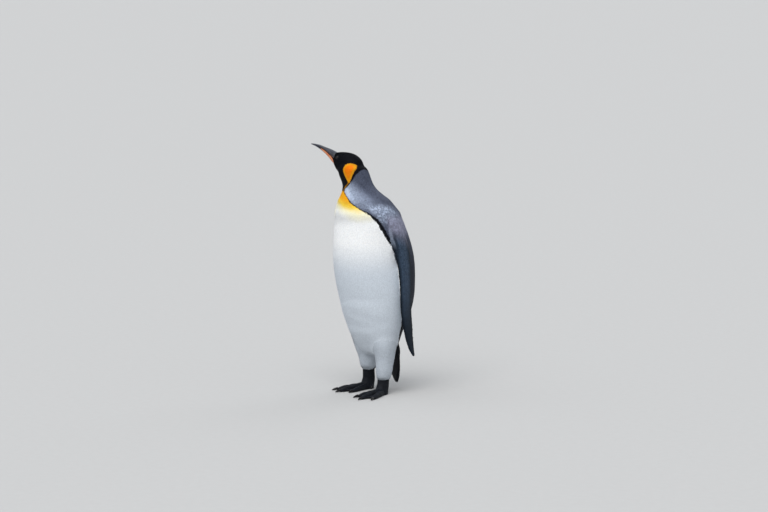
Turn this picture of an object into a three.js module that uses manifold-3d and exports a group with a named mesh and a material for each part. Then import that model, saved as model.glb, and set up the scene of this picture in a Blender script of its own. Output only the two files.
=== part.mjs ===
// A life-size king penguin (Aptenodytes patagonicus), standing with its head turned over its right shoulder.
// Millimetres, +Z up. The bird faces -Y and its left side is +X; the feet stand on z = 0.
import * as THREE from "three";
import { mergeVertices } from "three/addons/utils/BufferGeometryUtils.js";
import Module from "manifold-3d";

const wasm = await Module();
wasm.setup();

// ---------------------------------------------------------------- driving dimensions
const GAP = 0.3; // clearance between neighbouring pieces
const RING = 28; // points round a trunk or neck section
const FAR = 2000; // size of the boxes that cut half spaces

// Height above the floor, sideways shift, reach to the front, reach to the back, half width.
const BODY = [
  [128, 0, -12, 62, 24],
  [136, 0, 4, 80, 44],
  [150, 0, 18, 93, 63],
  [172, 0, 34, 102, 81],
  [200, 0, 54, 108, 93],
  [240, 0, 70, 128, 105],
  [280, 0, 85, 147, 114],
  [310, 0, 93, 156, 118.5],
  [340, 0, 101, 161, 122],
  [380, 0, 112, 163, 124],
  [420, 0, 120, 163, 124.5],
  [460, 0, 125, 159, 123.5],
  [500, 0, 126, 148, 120.5],
  [540, 0, 123, 132, 116],
  [580, 0, 121, 113, 110],
  [605, 0, 123, 102, 104],
  [622, -1, 123.5, 95, 98],
  [636, -3, 121, 85, 91],
  [650, -5, 115.5, 73, 82],
  [662, -8, 109, 61.5, 73],
  [676, -12, 98, 42, 62],
  [690, -16, 91, 28, 54],
  [710, -23, 85, 16.5, 51],
  [740, -34, 88, 7.5, 56],
  [757, -39, 89, 2, 56],
  [768, -43.5, 86, -3, 52],
  [782, -50, 78, -14, 38],
];
const NECK_FROM = 655; // height where the neck leaves the trunk
const TRUNK_RINGS = 20;
const NECK_RINGS = 8;
const SECTION_POWER = 2.15; // 2 is an ellipse, more is boxier

// The head's own frame: forward along the line from the corner of the mouth to the bill's tip.
const HEAD_YAW = 86; // turn to the bird's right, degrees from straight ahead
const HEAD_PITCH = 22.5; // bill raised above level
const GAPE = [-109, -47.5, 780]; // middle of the corner of the mouth
// Forward of the gape, top, underside, half width.
const HEAD = [
  [-103, 36, 14, 9],
  [-99, 43, 3, 19],
  [-90, 48.5, -9, 28],
  [-74, 53, -21, 34.5],
  [-54, 53.5, -28, 37],
  [-34, 49, -29, 35],
  [-14, 41.5, -24, 28],
  [-4, 36.5, -20, 22],
  [4, 32.5, -16.5, 17],
  [12, 28.5, -12.5, 13.5],
  [22, 23, -8, 10],
  [34, 16, -3, 6],
];
const HEAD_RINGS = 13;
const HEAD_SIDES = 22;
const EYE = { forward: -14, up: 21, side: 21.6, radius: 8 };

// Bill: forward of the gape, culmen, mouth line, lower edge, half width.
const BILL = [
  [-4, 20, -1, -12, 17],
  [14, 25.2, 4, -9.5, 15],
  [32, 24.6, 8.2, -5, 12.5],
  [52, 22, 10.6, -1, 10],
  [74, 18, 10.6, 2, 8],
  [96, 14.6, 8.8, 3, 6],
  [115, 9.2, 5.6, 2.2, 4],
  [128, 4.5, 2, 0.4, 2.2],
  [134, 1.6, 0.2, -0.8, 0.9],
];
const BILL_RINGS = 10;
const BILL_SIDES = 12;
const PLATE_PROUD = 1.1; // how far the coloured plate stands out of the lower mandible

// Left wing: middle of the blade, chord, thickness, and the way its outer face looks (degrees from ahead).
const WING = [
  [[82, 4, 610], 40, 34, 92],
  [[103, 12, 575], 66, 36, 95],
  [[119, 20, 532], 80, 30, 99],
  [[129, 28, 485], 84, 23, 103],
  [[134, 35, 425], 83, 18, 106],
  [[133.5, 40, 362], 80, 14, 107.5],
  [[130.5, 44, 295], 75, 11, 108],
  [[131, 53, 225], 65, 9, 109],
  [[132, 62, 175], 51, 7.5, 111],
  [[133, 71, 146], 35, 6, 113],
  [[134, 77, 130], 16, 4.5, 114],
];
const WING_RINGS = 14;
const WING_SIDES = 14;

// Feathered legs, left side: middle, half width, half depth. The right leg stands further back.
const LEG = [
  [[46, 22, 248], 44, 58],
  [[48, 21, 216], 43, 55],
  [[49.5, 20, 184], 40, 50],
  [[52, 20, 150], 36.5, 42.5],
  [[55, 18, 115], 31.5, 35],
  [[57.5, 13, 84], 27.5, 31],
  [[59.5, 9, 62], 23.5, 27.5],
  [[60, 7, 52], 21.5, 25.5],
];
const LEG_RINGS = 8;
const LEG_SIDES = 18;
const RIGHT_LEG_BACK = 47; // how far the right ankle stands behind the left
const LEG_LEAN = { from: 205, to: 20 }; // heights between which the right leg reaches back
const RIGHT_LEG_END = 76; // the height where the right leg's feathers stop above its shank

// Tail: middle, half width, half thickness.
const TAIL = [
  [[0, 82, 205], 26, 22],
  [[0, 97, 165], 32, 19],
  [[0, 106, 130], 34, 14.5],
  [[0, 112, 95], 33, 10.5],
  [[0, 117, 62], 29, 7.5],
  [[0, 121.5, 34], 20, 5],
  [[0, 124, 17], 9, 3],
];
const TAIL_RINGS = 9;
const TAIL_SIDES = 14;

// Each foot: heel, turn of the toes outwards, and how far the top of the shank leans forward.
const LEFT_FOOT = { heel: [60, 4], splay: 13, lean: 0, shank: 74 };
const RIGHT_FOOT = { heel: [-60, 4 + RIGHT_LEG_BACK], splay: 3, lean: 7, shank: 98 };
// Toes from the inside of the foot outwards: turn, start, length to the claw, half width, height at the root.
const TOES = [
  { name: "inner", turn: -16, side: -11, length: 77, wide: 10, high: 20 },
  { name: "middle", turn: 0, side: 0, length: 100, wide: 11, high: 23 },
  { name: "outer", turn: 15, side: 12, length: 86, wide: 10.5, high: 21 },
];
const TOE_ROOT = -26; // where the toes leave the middle of the foot
const CLAW = { length: 23, radius: 4.8, base: 6.2, drop: 3.6 };
const HALLUX = { from: [-12, 6, 18], to: [-26, -10, 8.5], radius: 5.2, claw: 11, clawRadius: 3 };

// ---------------------------------------------------------------- materials
function material(name, color, roughness) {
  return Object.assign(new THREE.MeshStandardMaterial({ color, roughness, metalness: 0 }), { name });
}
const WHITE_PLUMAGE = material("white_plumage", 0xe9ebee, 0.7);
const GREY_PLUMAGE = material("grey_plumage", 0x6c7890, 0.65);
const BLACK_PLUMAGE = material("black_plumage", 0x14161c, 0.6);
const WING_PLUMAGE = material("wing_plumage", 0x2a3442, 0.55);
const TAIL_PLUMAGE = material("tail_plumage", 0x1b1c22, 0.65);
const HORN = material("bill_horn", 0x22242c, 0.35);
const PLATE = material("bill_plate", 0xe0703a, 0.35);
const EYE_GLOSS = material("eye", 0x1b0f0a, 0.08);
const FOOT_SKIN = material("foot_skin", 0x1e2026, 0.6);
const CLAW_HORN = material("claw_horn", 0x17171a, 0.4);

// ---------------------------------------------------------------- general shape tools
// A smooth value at x from a table whose first column rises or falls steadily (Catmull-Rom on uneven steps).
function smooth(table, column, x) {
  const at = (i) => table[Math.min(Math.max(i, 0), table.length - 1)];
  let i = table.findIndex((row) => row[0] >= x);
  if (i < 0) i = table.length - 1;
  i = Math.max(i, 1);
  const [p, a, b, n] = [at(i - 2), at(i - 1), at(i), at(i + 1)];
  const span = b[0] - a[0];
  const t = (x - a[0]) / span;
  const slope = (u, v) => (v[0] === u[0] ? 0 : (v[column] - u[column]) / (v[0] - u[0]));
  const ma = slope(p, b) * span;
  const mb = slope(a, n) * span;
  const t2 = t * t;
  const t3 = t2 * t;
  const values = (2 * t3 - 3 * t2 + 1) * a[column] + (3 * t2 - 2 * t3) * b[column];
  const slopes = (t3 - 2 * t2 + t) * ma + (t3 - t2) * mb;
  return values + slopes;
}

// The same for a list of stations [middle, ...numbers], read along its length from 0 to 1.
function along(stations, t) {
  const middles = new THREE.CatmullRomCurve3(stations.map(([m]) => new THREE.Vector3(...m)));
  const rows = stations.map(([, ...sizes], i) => [i / (stations.length - 1), ...sizes]);
  const sizes = stations[0].slice(1).map((_, k) => smooth(rows, k + 1, t));
  return { middle: middles.getPoint(t), sizes };
}

// Points round a closed section: half sizes a (first axis) and b (second axis), as a rounded superellipse.
function section(count, a, b, power = 2) {
  return Array.from({ length: count }, (_, k) => {
    const angle = (2 * Math.PI * k) / count;
    const round = (c) => Math.sign(c) * Math.abs(c) ** (2 / power);
    return [a * round(Math.cos(angle)), b * round(Math.sin(angle))];
  });
}

// A closed solid through rings of equal length, with a fan at each end.
function loft(rings) {
  const n = rings[0].length;
  const points = rings.flat();
  const faces = [];
  for (let r = 0; r + 1 < rings.length; r++) {
    for (let k = 0; k < n; k++) {
      const a = r * n + k;
      const b = r * n + ((k + 1) % n);
      faces.push(a, b, b + n, a, b + n, a + n);
    }
  }
  const middle = (ring) => ring.reduce((sum, p) => sum.add(p), new THREE.Vector3()).divideScalar(n);
  const ends = [points.length, points.length + 1];
  const last = (rings.length - 1) * n;
  for (let k = 0; k < n; k++) {
    const next = (k + 1) % n;
    faces.push(ends[0], next, k, ends[1], last + k, last + next);
  }
  const all = [...points, middle(rings[0]), middle(rings[rings.length - 1])];
  const geometry = new THREE.BufferGeometry().setFromPoints(all);
  geometry.setIndex(faces);
  return geometry;
}

// A three.js geometry as a manifold solid, turned the right way out.
function solid(geometry) {
  const bare = geometry.index ? geometry.toNonIndexed() : geometry.clone();
  for (const name of Object.keys(bare.attributes)) if (name !== "position") bare.deleteAttribute(name);
  const merged = mergeVertices(bare, 1e-3);
  const triVerts = new Uint32Array(merged.index.array);
  const vertProperties = merged.attributes.position.array;
  const made = new wasm.Manifold(new wasm.Mesh({ numProp: 3, vertProperties, triVerts }));
  if (made.volume() > 0) return made;
  for (let i = 0; i < triVerts.length; i += 3) {
    [triVerts[i + 1], triVerts[i + 2]] = [triVerts[i + 2], triVerts[i + 1]];
  }
  return new wasm.Manifold(new wasm.Mesh({ numProp: 3, vertProperties, triVerts }));
}

function geometryOf(manifold) {
  const mesh = manifold.getMesh();
  const positions = new Float32Array(mesh.numVert * 3);
  for (let i = 0; i < mesh.numVert; i++) {
    positions.set(mesh.vertProperties.subarray(i * mesh.numProp, i * mesh.numProp + 3), i * 3);
  }
  const geometry = new THREE.BufferGeometry();
  geometry.setAttribute("position", new THREE.BufferAttribute(positions, 3));
  geometry.setIndex(new THREE.BufferAttribute(mesh.triVerts, 1));
  return geometry;
}

function halfSpaceAbove(height) {
  return solid(new THREE.BoxGeometry(FAR, FAR, FAR).translate(0, 0, height + FAR / 2));
}

// Keeps the largest piece of a cut solid, so that a boolean leaves no crumbs.
function largest(manifold) {
  return manifold.decompose().reduce((best, one) => (one.volume() > best.volume() ? one : best));
}

const mirrored = (manifold) => manifold.mirror([1, 0, 0]);
const degrees = THREE.MathUtils.degToRad;

// ---------------------------------------------------------------- trunk and neck
function bodyRing(height, grow) {
  const [shift, front, back, half] = [1, 2, 3, 4].map((column) => smooth(BODY, column, height));
  const deep = (front + back) / 2 + grow;
  const middle = (back - front) / 2;
  return section(RING, half + grow, deep, SECTION_POWER).map(
    ([x, y]) => new THREE.Vector3(shift + x, middle + y, height),
  );
}

// Rings crowd towards the lower end by the power given, because the trunk closes quickly there.
function bodyLoft(from, to, rings, crowd = 1, grow = 0) {
  const made = Array.from({ length: rings }, (_, i) => {
    const height = from + (to - from) * (i / (rings - 1)) ** crowd;
    return bodyRing(height, grow).map((point) => point.setZ(i ? height : height - grow));
  });
  return solid(loft(made));
}

const lowest = BODY[0][0];
const highest = BODY[BODY.length - 1][0];
const trunk = bodyLoft(lowest, NECK_FROM, TRUNK_RINGS, 1.4);
const trunkGrown = bodyLoft(lowest, NECK_FROM, TRUNK_RINGS, 1.4, GAP);

// ---------------------------------------------------------------- head, eyes and bill
const headPlace = new THREE.Matrix4()
  .makeTranslation(...GAPE)
  .multiply(new THREE.Matrix4().makeRotationZ(-degrees(HEAD_YAW)))
  .multiply(new THREE.Matrix4().makeRotationX(-degrees(HEAD_PITCH)));

// A point of the head's own frame: forward, to the bird's left, up.
function headPoint(forward, side, up) {
  return new THREE.Vector3(side, -forward, up).applyMatrix4(headPlace);
}

function headLoft(grow = 0) {
  const first = HEAD[0][0];
  const last = HEAD[HEAD.length - 1][0];
  const rings = Array.from({ length: HEAD_RINGS }, (_, i) => {
    // Rings crowd towards both ends, where the shape closes quickly.
    const share = (1 - Math.cos((Math.PI * i) / (HEAD_RINGS - 1))) / 2;
    const forward = first + (last - first) * share;
    const [top, under, half] = [1, 2, 3].map((column) => smooth(HEAD, column, forward));
    return section(HEAD_SIDES, half + grow, (top - under) / 2 + grow, 2.1).map(([side, up]) =>
      headPoint(forward + grow * Math.sign(share - 0.5), side, (top + under) / 2 + up),
    );
  });
  return solid(loft(rings));
}

function eyeBall(sign, radius) {
  const middle = headPoint(EYE.forward, sign * EYE.side, EYE.up);
  return solid(new THREE.SphereGeometry(radius, 14, 8)).translate(...middle.toArray());
}

const headGrown = headLoft(GAP);
const head = headLoft()
  .subtract(eyeBall(1, EYE.radius + GAP))
  .subtract(eyeBall(-1, EYE.radius + GAP));
const neck = largest(bodyLoft(NECK_FROM + GAP, highest, NECK_RINGS).subtract(headGrown));

// One half of the bill between two of the edge columns, upper or lower.
function billHalf(topColumn, underColumn, gapTop, gapUnder, grow = 0) {
  const first = BILL[0][0];
  const last = BILL[BILL.length - 1][0];
  const rings = Array.from({ length: BILL_RINGS }, (_, i) => {
    const forward = first + ((last - first) * i) / (BILL_RINGS - 1);
    const top = smooth(BILL, topColumn, forward) - gapTop;
    const under = smooth(BILL, underColumn, forward) + gapUnder;
    const half = smooth(BILL, 4, forward);
    const high = Math.max((top - under) / 2, 0.3) + grow;
    return section(BILL_SIDES, half + grow, high, 2.3).map(([side, up]) =>
      headPoint(forward, side, (top + under) / 2 + up),
    );
  });
  return solid(loft(rings));
}

const upperWhole = billHalf(1, 2, 0, GAP / 2);
const lowerWhole = billHalf(2, 3, GAP / 2, 0);
const billUpper = largest(upperWhole.subtract(headGrown));
const billLower = largest(lowerWhole.subtract(headGrown).subtract(billHalf(1, 2, 0, GAP / 2, GAP)));

// The coloured plate lies on each side of the lower mandible, from the gape to two thirds of its length.
function billPlate(sign) {
  const outline = new THREE.Shape();
  outline.moveTo(0, -2);
  outline.quadraticCurveTo(22, 7, 50, 9.8);
  outline.quadraticCurveTo(66, 10.8, 84, 8.8);
  outline.quadraticCurveTo(70, 4.2, 50, 0.8);
  outline.quadraticCurveTo(26, -4.5, 0, -9.5);
  outline.closePath();
  const region = new THREE.ExtrudeGeometry(outline, { depth: 30, bevelEnabled: false, curveSegments: 5 });
  // Shape x is forward, shape y is up, and the extrusion runs sideways from just beside the middle.
  const place = new THREE.Matrix4().makeBasis(
    new THREE.Vector3(0, -1, 0),
    new THREE.Vector3(0, 0, 1),
    new THREE.Vector3(-1, 0, 0),
  );
  region.applyMatrix4(place);
  region.translate(-1, 0, 0);
  let side = solid(region);
  if (sign > 0) side = mirrored(side);
  const placed = side.transform(headPlace.elements);
  const shell = billHalf(2, 3, GAP / 2, 0, PLATE_PROUD).subtract(billHalf(2, 3, GAP / 2, 0, GAP));
  const clear = shell.intersect(placed).subtract(headGrown).subtract(billHalf(1, 2, 0, GAP / 2, GAP));
  return largest(clear);
}

// ---------------------------------------------------------------- wings
function wingWhole() {
  const rings = Array.from({ length: WING_RINGS }, (_, i) => {
    const t = i / (WING_RINGS - 1);
    const { middle, sizes } = along(WING, t);
    const [chord, thick, facing] = sizes;
    const outward = new THREE.Vector3(Math.sin(degrees(facing)), -Math.cos(degrees(facing)), 0);
    const ahead = new THREE.Vector3(outward.y, -outward.x, 0); // towards the leading edge
    return section(WING_SIDES, chord / 2, thick / 2, 2.2).map(([fore, out]) => {
      const taper = 1 + 0.22 * (fore / (chord / 2)); // the leading edge is the thick one
      return middle
        .clone()
        .addScaledVector(ahead, fore)
        .addScaledVector(outward, out * taper);
    });
  });
  return solid(loft(rings));
}
const wingLeft = largest(wingWhole().subtract(trunkGrown));
const wingRight = largest(mirrored(wingWhole()).subtract(trunkGrown));

// ---------------------------------------------------------------- legs and tail
function limb(stations, rings, sides, lean) {
  const made = Array.from({ length: rings }, (_, i) => {
    const { middle, sizes } = along(stations, i / (rings - 1));
    return section(sides, sizes[0], sizes[1], 2.1).map(
      ([x, y]) => new THREE.Vector3(middle.x + x, middle.y + y + lean(middle.z), middle.z),
    );
  });
  return solid(loft(made));
}

// The right leg leaves the trunk where the left does and reaches further back towards the ankle.
function legLean(back) {
  return (height) => back * (1 - THREE.MathUtils.smoothstep(height, LEG_LEAN.to, LEG_LEAN.from));
}
const legLeftWhole = limb(LEG, LEG_RINGS, LEG_SIDES, legLean(0));
const legRightWhole = mirrored(limb(LEG, LEG_RINGS, LEG_SIDES, legLean(RIGHT_LEG_BACK)));
const legLeft = largest(legLeftWhole.subtract(trunkGrown));
const legRight = largest(legRightWhole.subtract(trunkGrown).intersect(halfSpaceAbove(RIGHT_LEG_END)));
const legsGrown = [0, RIGHT_LEG_BACK].map((back, i) => {
  const grown = LEG.map(([middle, wide, deep]) => [middle, wide + GAP, deep + GAP]);
  const low = [[...grown[grown.length - 1][0]], ...grown[grown.length - 1].slice(1)];
  low[0][2] -= GAP;
  const whole = limb([...grown.slice(0, -1), low], LEG_RINGS, LEG_SIDES, legLean(back));
  return i ? mirrored(whole).intersect(halfSpaceAbove(RIGHT_LEG_END - GAP)) : whole;
});
const tailWhole = limb(TAIL, TAIL_RINGS, TAIL_SIDES, () => 0);
const tail = largest(tailWhole.subtract(trunkGrown).subtract(legsGrown[0]).subtract(legsGrown[1]));

// ---------------------------------------------------------------- feet and claws
// Foot frame: heel at the origin, toes towards -Y, outside of the left foot towards +X.
const toeRoot = (toe) => new THREE.Vector3(toe.side, TOE_ROOT, 0);
const toeWay = (toe) => new THREE.Vector3(Math.sin(degrees(toe.turn)), -Math.cos(degrees(toe.turn)), 0);

function toeSolid(toe) {
  const knuckles = 3; // fleshy pads along each toe
  const rings = Array.from({ length: 9 }, (_, i) => {
    const t = i / 8;
    const way = toeWay(toe);
    const across = new THREE.Vector3(-way.y, way.x, 0);
    const swell = 1 + 0.05 * Math.cos(2 * Math.PI * knuckles * t);
    const closing = Math.sqrt(1 - 0.6 * THREE.MathUtils.smoothstep(t, 0.8, 1)); // the end is blunt
    const wide = toe.wide * (1 - 0.22 * t) * swell * closing;
    const high = toe.high * (1 - 0.36 * t) * swell * closing;
    const middle = toeRoot(toe).addScaledVector(way, t * toe.length);
    // The section reaches a little under the floor and is cut flat there.
    return section(10, wide, high * 0.6, 2.2).map(([x, z]) =>
      middle
        .clone()
        .addScaledVector(across, x)
        .setZ(high * 0.4 + z),
    );
  });
  return solid(loft(rings));
}

function webSolid(one, other) {
  const reach = 0.92; // share of the toe's length that the web follows
  const a = toeRoot(one);
  const b = toeRoot(other);
  const c = toeRoot(other).addScaledVector(toeWay(other), other.length * reach);
  const d = toeRoot(one).addScaledVector(toeWay(one), one.length * reach);
  const dip = c.clone().add(d).multiplyScalar(0.5);
  dip.y += 14; // the web's front edge is hollow
  const outline = new THREE.Shape();
  outline.moveTo(a.x, a.y + 8);
  outline.lineTo(b.x, b.y + 8);
  outline.lineTo(c.x, c.y);
  outline.quadraticCurveTo(dip.x, dip.y, d.x, d.y);
  outline.closePath();
  const plate = new THREE.ExtrudeGeometry(outline, { depth: 5, bevelEnabled: false, curveSegments: 6 });
  return solid(plate.translate(0, 0, 2.5));
}

// The scaly shank comes down behind and runs forward into the ball of the foot; its top may lean forward.
function ankleSolid(forward, top) {
  const shank = [
    [[0, 4, top], 18, 21.5],
    [[0, 3, 52], 18, 22],
    [[0, 1, 34], 18.5, 23],
    [[0, -5, 19], 19.5, 26],
    [[0, -10, 7], 20.5, 28],
    [[0, -11, -6], 20.5, 28],
  ];
  return limb(shank, 7, 16, (height) => -forward * THREE.MathUtils.smoothstep(height, 0, top));
}

const halluxEnds = () => [new THREE.Vector3(...HALLUX.from), new THREE.Vector3(...HALLUX.to)];

function halluxSolid() {
  const [from, to] = halluxEnds();
  const rings = Array.from({ length: 5 }, (_, i) => {
    const t = i / 4;
    const size = HALLUX.radius * (1 - 0.4 * t * t);
    const middle = from.clone().lerp(to, t);
    return section(8, size, size).map(([across, up]) =>
      middle.clone().add(new THREE.Vector3(across * 0.75, -across * 0.65, up)),
    );
  });
  return solid(loft(rings));
}

function footWhole(foot) {
  let made = ankleSolid(foot.lean, foot.shank).add(halluxSolid());
  for (const toe of TOES) made = made.add(toeSolid(toe));
  made = made.add(webSolid(TOES[0], TOES[1])).add(webSolid(TOES[1], TOES[2]));
  return made.intersect(halfSpaceAbove(0));
}

// A pointed claw that carries a toe on and bends down at the end: base, way, length, radius and drop.
function clawSolid(base, way, length, radius, drop) {
  const across = new THREE.Vector3(-way.y, way.x, 0).normalize();
  const rings = Array.from({ length: 6 }, (_, i) => {
    const t = i / 5;
    const size = radius * Math.sqrt(1 - t) + 0.35;
    const middle = base.clone().addScaledVector(way, t * length);
    middle.z -= drop * t * t;
    return section(8, size * 0.8, size).map(([x, z]) =>
      middle
        .clone()
        .addScaledVector(across, x)
        .setZ(middle.z + z),
    );
  });
  return solid(loft(rings));
}

function placeFoot(manifold, foot, isRight) {
  const side = isRight ? mirrored(manifold) : manifold;
  const turn = isRight ? -foot.splay : foot.splay;
  return side.rotate([0, 0, turn]).translate([...foot.heel, 0]);
}

function clawsOf(foot, isRight) {
  const claws = TOES.map((toe) => {
    const way = toeWay(toe);
    const base = toeRoot(toe)
      .addScaledVector(way, toe.length + GAP)
      .setZ(CLAW.base);
    return [toe.name, clawSolid(base, way, CLAW.length, CLAW.radius, CLAW.drop)];
  });
  const [from, to] = halluxEnds();
  const hindWay = to.clone().sub(from).setZ(0).normalize();
  const hindBase = to.clone().addScaledVector(hindWay, HALLUX.radius * 0.6);
  claws.push(["hind", clawSolid(hindBase, hindWay, HALLUX.claw, HALLUX.clawRadius, 2.5)]);
  return claws.map(([name, claw]) => [name, placeFoot(claw, foot, isRight)]);
}

// ---------------------------------------------------------------- the bird
const king = new THREE.Group();
king.name = "king_penguin";

function addPiece(name, manifold, look) {
  const mesh = new THREE.Mesh(geometryOf(manifold), look);
  mesh.name = name;
  king.add(mesh);
}

addPiece("trunk", trunk, WHITE_PLUMAGE);
addPiece("neck", neck, GREY_PLUMAGE);
addPiece("head", head, BLACK_PLUMAGE);
addPiece("eye_left", eyeBall(1, EYE.radius), EYE_GLOSS);
addPiece("eye_right", eyeBall(-1, EYE.radius), EYE_GLOSS);
addPiece("bill_upper", billUpper, HORN);
addPiece("bill_lower", billLower, HORN);
addPiece("bill_plate_left", billPlate(1), PLATE);
addPiece("bill_plate_right", billPlate(-1), PLATE);
addPiece("wing_left", wingLeft, WING_PLUMAGE);
addPiece("wing_right", wingRight, WING_PLUMAGE);
addPiece("leg_left", legLeft, WHITE_PLUMAGE);
addPiece("leg_right", legRight, WHITE_PLUMAGE);
addPiece("tail", tail, TAIL_PLUMAGE);
for (const [side, foot, legGrown, isRight] of [
  ["left", LEFT_FOOT, legsGrown[0], false],
  ["right", RIGHT_FOOT, legsGrown[1], true],
]) {
  const whole = placeFoot(footWhole(foot), foot, isRight);
  addPiece(`foot_${side}`, largest(whole.subtract(legGrown)), FOOT_SKIN);
  for (const [name, claw] of clawsOf(foot, isRight)) addPiece(`claw_${side}_${name}`, claw, CLAW_HORN);
}

// The origin is on the floor, under the middle of the whole bird's box.
const box = new THREE.Box3().setFromObject(king);
const middle = box.getCenter(new THREE.Vector3());
king.position.set(-middle.x, -middle.y, -box.min.z);

export default king;
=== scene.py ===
"""A king penguin as a life-size museum model: skin, plumage, bill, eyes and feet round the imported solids.

The bird stands with its breast to -Y, its left side to +X and its head turned over its right shoulder.
Measures are millimetres in the bird's own frame, whose origin is on the floor under the trunk's axis;
everything made for Blender is in metres in the row frame.
"""

import itertools
import math
from types import SimpleNamespace

import bmesh
import bpy
import numpy as np
from mathutils import Matrix, Vector
from mathutils.bvhtree import BVHTree
from mathutils.kdtree import KDTree


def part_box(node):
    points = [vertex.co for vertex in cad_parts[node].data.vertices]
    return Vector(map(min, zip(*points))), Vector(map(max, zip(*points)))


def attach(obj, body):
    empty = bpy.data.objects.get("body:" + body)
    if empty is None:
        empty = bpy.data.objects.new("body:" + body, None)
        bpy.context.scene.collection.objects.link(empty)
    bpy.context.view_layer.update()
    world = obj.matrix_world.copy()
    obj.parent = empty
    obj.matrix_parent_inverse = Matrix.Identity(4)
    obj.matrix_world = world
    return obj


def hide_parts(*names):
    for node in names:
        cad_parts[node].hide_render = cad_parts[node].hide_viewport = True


MM = 0.001
SEED = 20
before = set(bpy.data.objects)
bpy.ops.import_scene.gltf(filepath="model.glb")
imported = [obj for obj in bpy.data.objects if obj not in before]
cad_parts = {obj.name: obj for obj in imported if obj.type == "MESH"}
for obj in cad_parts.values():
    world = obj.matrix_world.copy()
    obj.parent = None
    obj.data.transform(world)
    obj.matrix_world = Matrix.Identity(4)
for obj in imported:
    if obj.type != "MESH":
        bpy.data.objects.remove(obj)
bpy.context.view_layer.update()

# ---- places taken from the frame, and the pose of the head
TRUNK_FRONT = 126.0  # the breast's reach in front of the trunk's axis
trunk_low, trunk_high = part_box("trunk")
ORIGIN = np.array([(trunk_low.x + trunk_high.x) / 2, trunk_low.y + TRUNK_FRONT * MM, 0.0])

# The head's own frame has its origin at the corner of the mouth and looks forward along the bill.
HEAD_YAW = math.radians(86)
HEAD_PITCH = math.radians(22.5)
GAPE = np.array([-109.0, -47.5, 780.0])
EYE_FORWARD, EYE_SIDE, EYE_UP = -14.0, 21.6, 21.0
EYE_WAY = np.array([0.53, 1.0, 0.35])  # the way it looks, at right angles to the cheek: forward, side, up
EYE_SUNK = 2.7  # how much deeper the ball sits than its solid does
EYE_RAISED = 2.8  # from the middle of that solid out to the cheek
BALL_RADIUS = 7.2


def turned(angle, first, second):
    """Matrix of a turn from one axis towards another."""
    matrix = np.eye(3)
    matrix[first, first] = matrix[second, second] = math.cos(angle)
    matrix[second, first] = math.sin(angle)
    matrix[first, second] = -math.sin(angle)
    return matrix


HEAD_TURN = turned(-HEAD_YAW, 0, 1) @ turned(-HEAD_PITCH, 1, 2)
HEAD_FORWARD = HEAD_TURN @ np.array([0, -1.0, 0])


def to_bird(points):
    """Row-frame metres to the bird's own millimetres."""
    return (np.asarray(points) - ORIGIN) / MM


def to_row(points):
    return np.asarray(points) * MM + ORIGIN


def head_frame(bird):
    """Forward, side (left +) and up of points, in the head's own frame."""
    q = (bird - GAPE) @ HEAD_TURN
    return -q[..., 1], q[..., 0], q[..., 2]


def head_point(forward, side, up):
    local = np.stack(np.broadcast_arrays(side, -np.asarray(forward, float), up), -1)
    return local @ HEAD_TURN.T + GAPE


# ---- small numeric tools
def ramp(x, low, high):
    """Eases from 0 at low to 1 at high."""
    t = np.clip((np.asarray(x, float) - low) / (high - low), 0, 1)
    return t * t * (3 - 2 * t)


def band(x, start, full, last, end):
    """Eases up from start to full and down from last to end."""
    return ramp(x, start, full) * ramp(x, end, last)


def hump(x, middle, wide):
    return np.exp(-(((x - middle) / wide) ** 2))


def lerp(a, b, t):
    t = np.asarray(t)[..., None]
    return np.asarray(a) * (1 - t) + np.asarray(b) * t


def painted(colour, *layers):
    """Lays other colours over one, each with its share."""
    for tone, share in layers:
        colour = lerp(colour, tone, share)
    return colour


def unit(v):
    return v / np.maximum(np.linalg.norm(v, axis=-1, keepdims=True), 1e-12)


def flat_to(v, normal):
    """v laid into the surface with this normal."""
    return unit(v - normal * (v * normal).sum(-1, keepdims=True))


def circle(count):
    return np.linspace(0, 2 * np.pi, count, endpoint=False)


def point_tree(points):
    tree = KDTree(len(points))
    for i, point in enumerate(points):
        tree.insert(point, i)
    tree.balance()
    return tree


# ---- meshes
def vectors(elements, name, kind=np.float32):
    """One vector of each element of a mesh."""
    values = np.empty(len(elements) * 3, kind)
    elements.foreach_get(name, values)
    return values.reshape(-1, 3)


def mesh_points(obj):
    return vectors(obj.data.vertices, "co").astype(float)


def mesh_normals(obj):
    return vectors(obj.data.vertex_normals, "vector").astype(float)


def mesh_triangles(obj):
    obj.data.calc_loop_triangles()
    return vectors(obj.data.loop_triangles, "vertices", np.int32)


def set_points(obj, points):
    obj.data.vertices.foreach_set("co", points.ravel())
    obj.data.update()


def mark(mesh, name, values):
    """Stores a number or a colour at each point of a mesh."""
    if values.ndim == 1:
        mesh.attributes.new(name, "FLOAT", "POINT").data.foreach_set("value", values.astype(np.float32))
    else:
        rgba = np.concatenate([values, np.ones((len(values), 1))], 1).astype(np.float32)
        mesh.color_attributes.new(name, "FLOAT_COLOR", "POINT").data.foreach_set("color", rgba.ravel())


def add_object(name, data):
    made = bpy.data.objects.new(name, data)
    bpy.context.scene.collection.objects.link(made)
    return made


def new_mesh(name, points, faces):
    """A smooth object from points in metres and faces as rows of indices."""
    mesh = bpy.data.meshes.new(name)
    mesh.from_pydata([tuple(p) for p in points], [], [tuple(f) for f in faces])
    mesh.update()
    mesh.shade_smooth()
    return add_object(name, mesh)


def flipped(faces):
    return [tuple(reversed(face)) for face in faces]


def grid_faces(rows, columns, closed=False):
    """Quads of a grid of points; closed joins the last column to the first."""
    span = columns if closed else columns - 1
    r, c = np.meshgrid(np.arange(rows - 1), np.arange(span), indexing="ij")
    a = r * columns + c
    b = r * columns + (c + 1) % columns
    return np.stack([a, b, b + columns, a + columns], -1).reshape(-1, 4).tolist()


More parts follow.
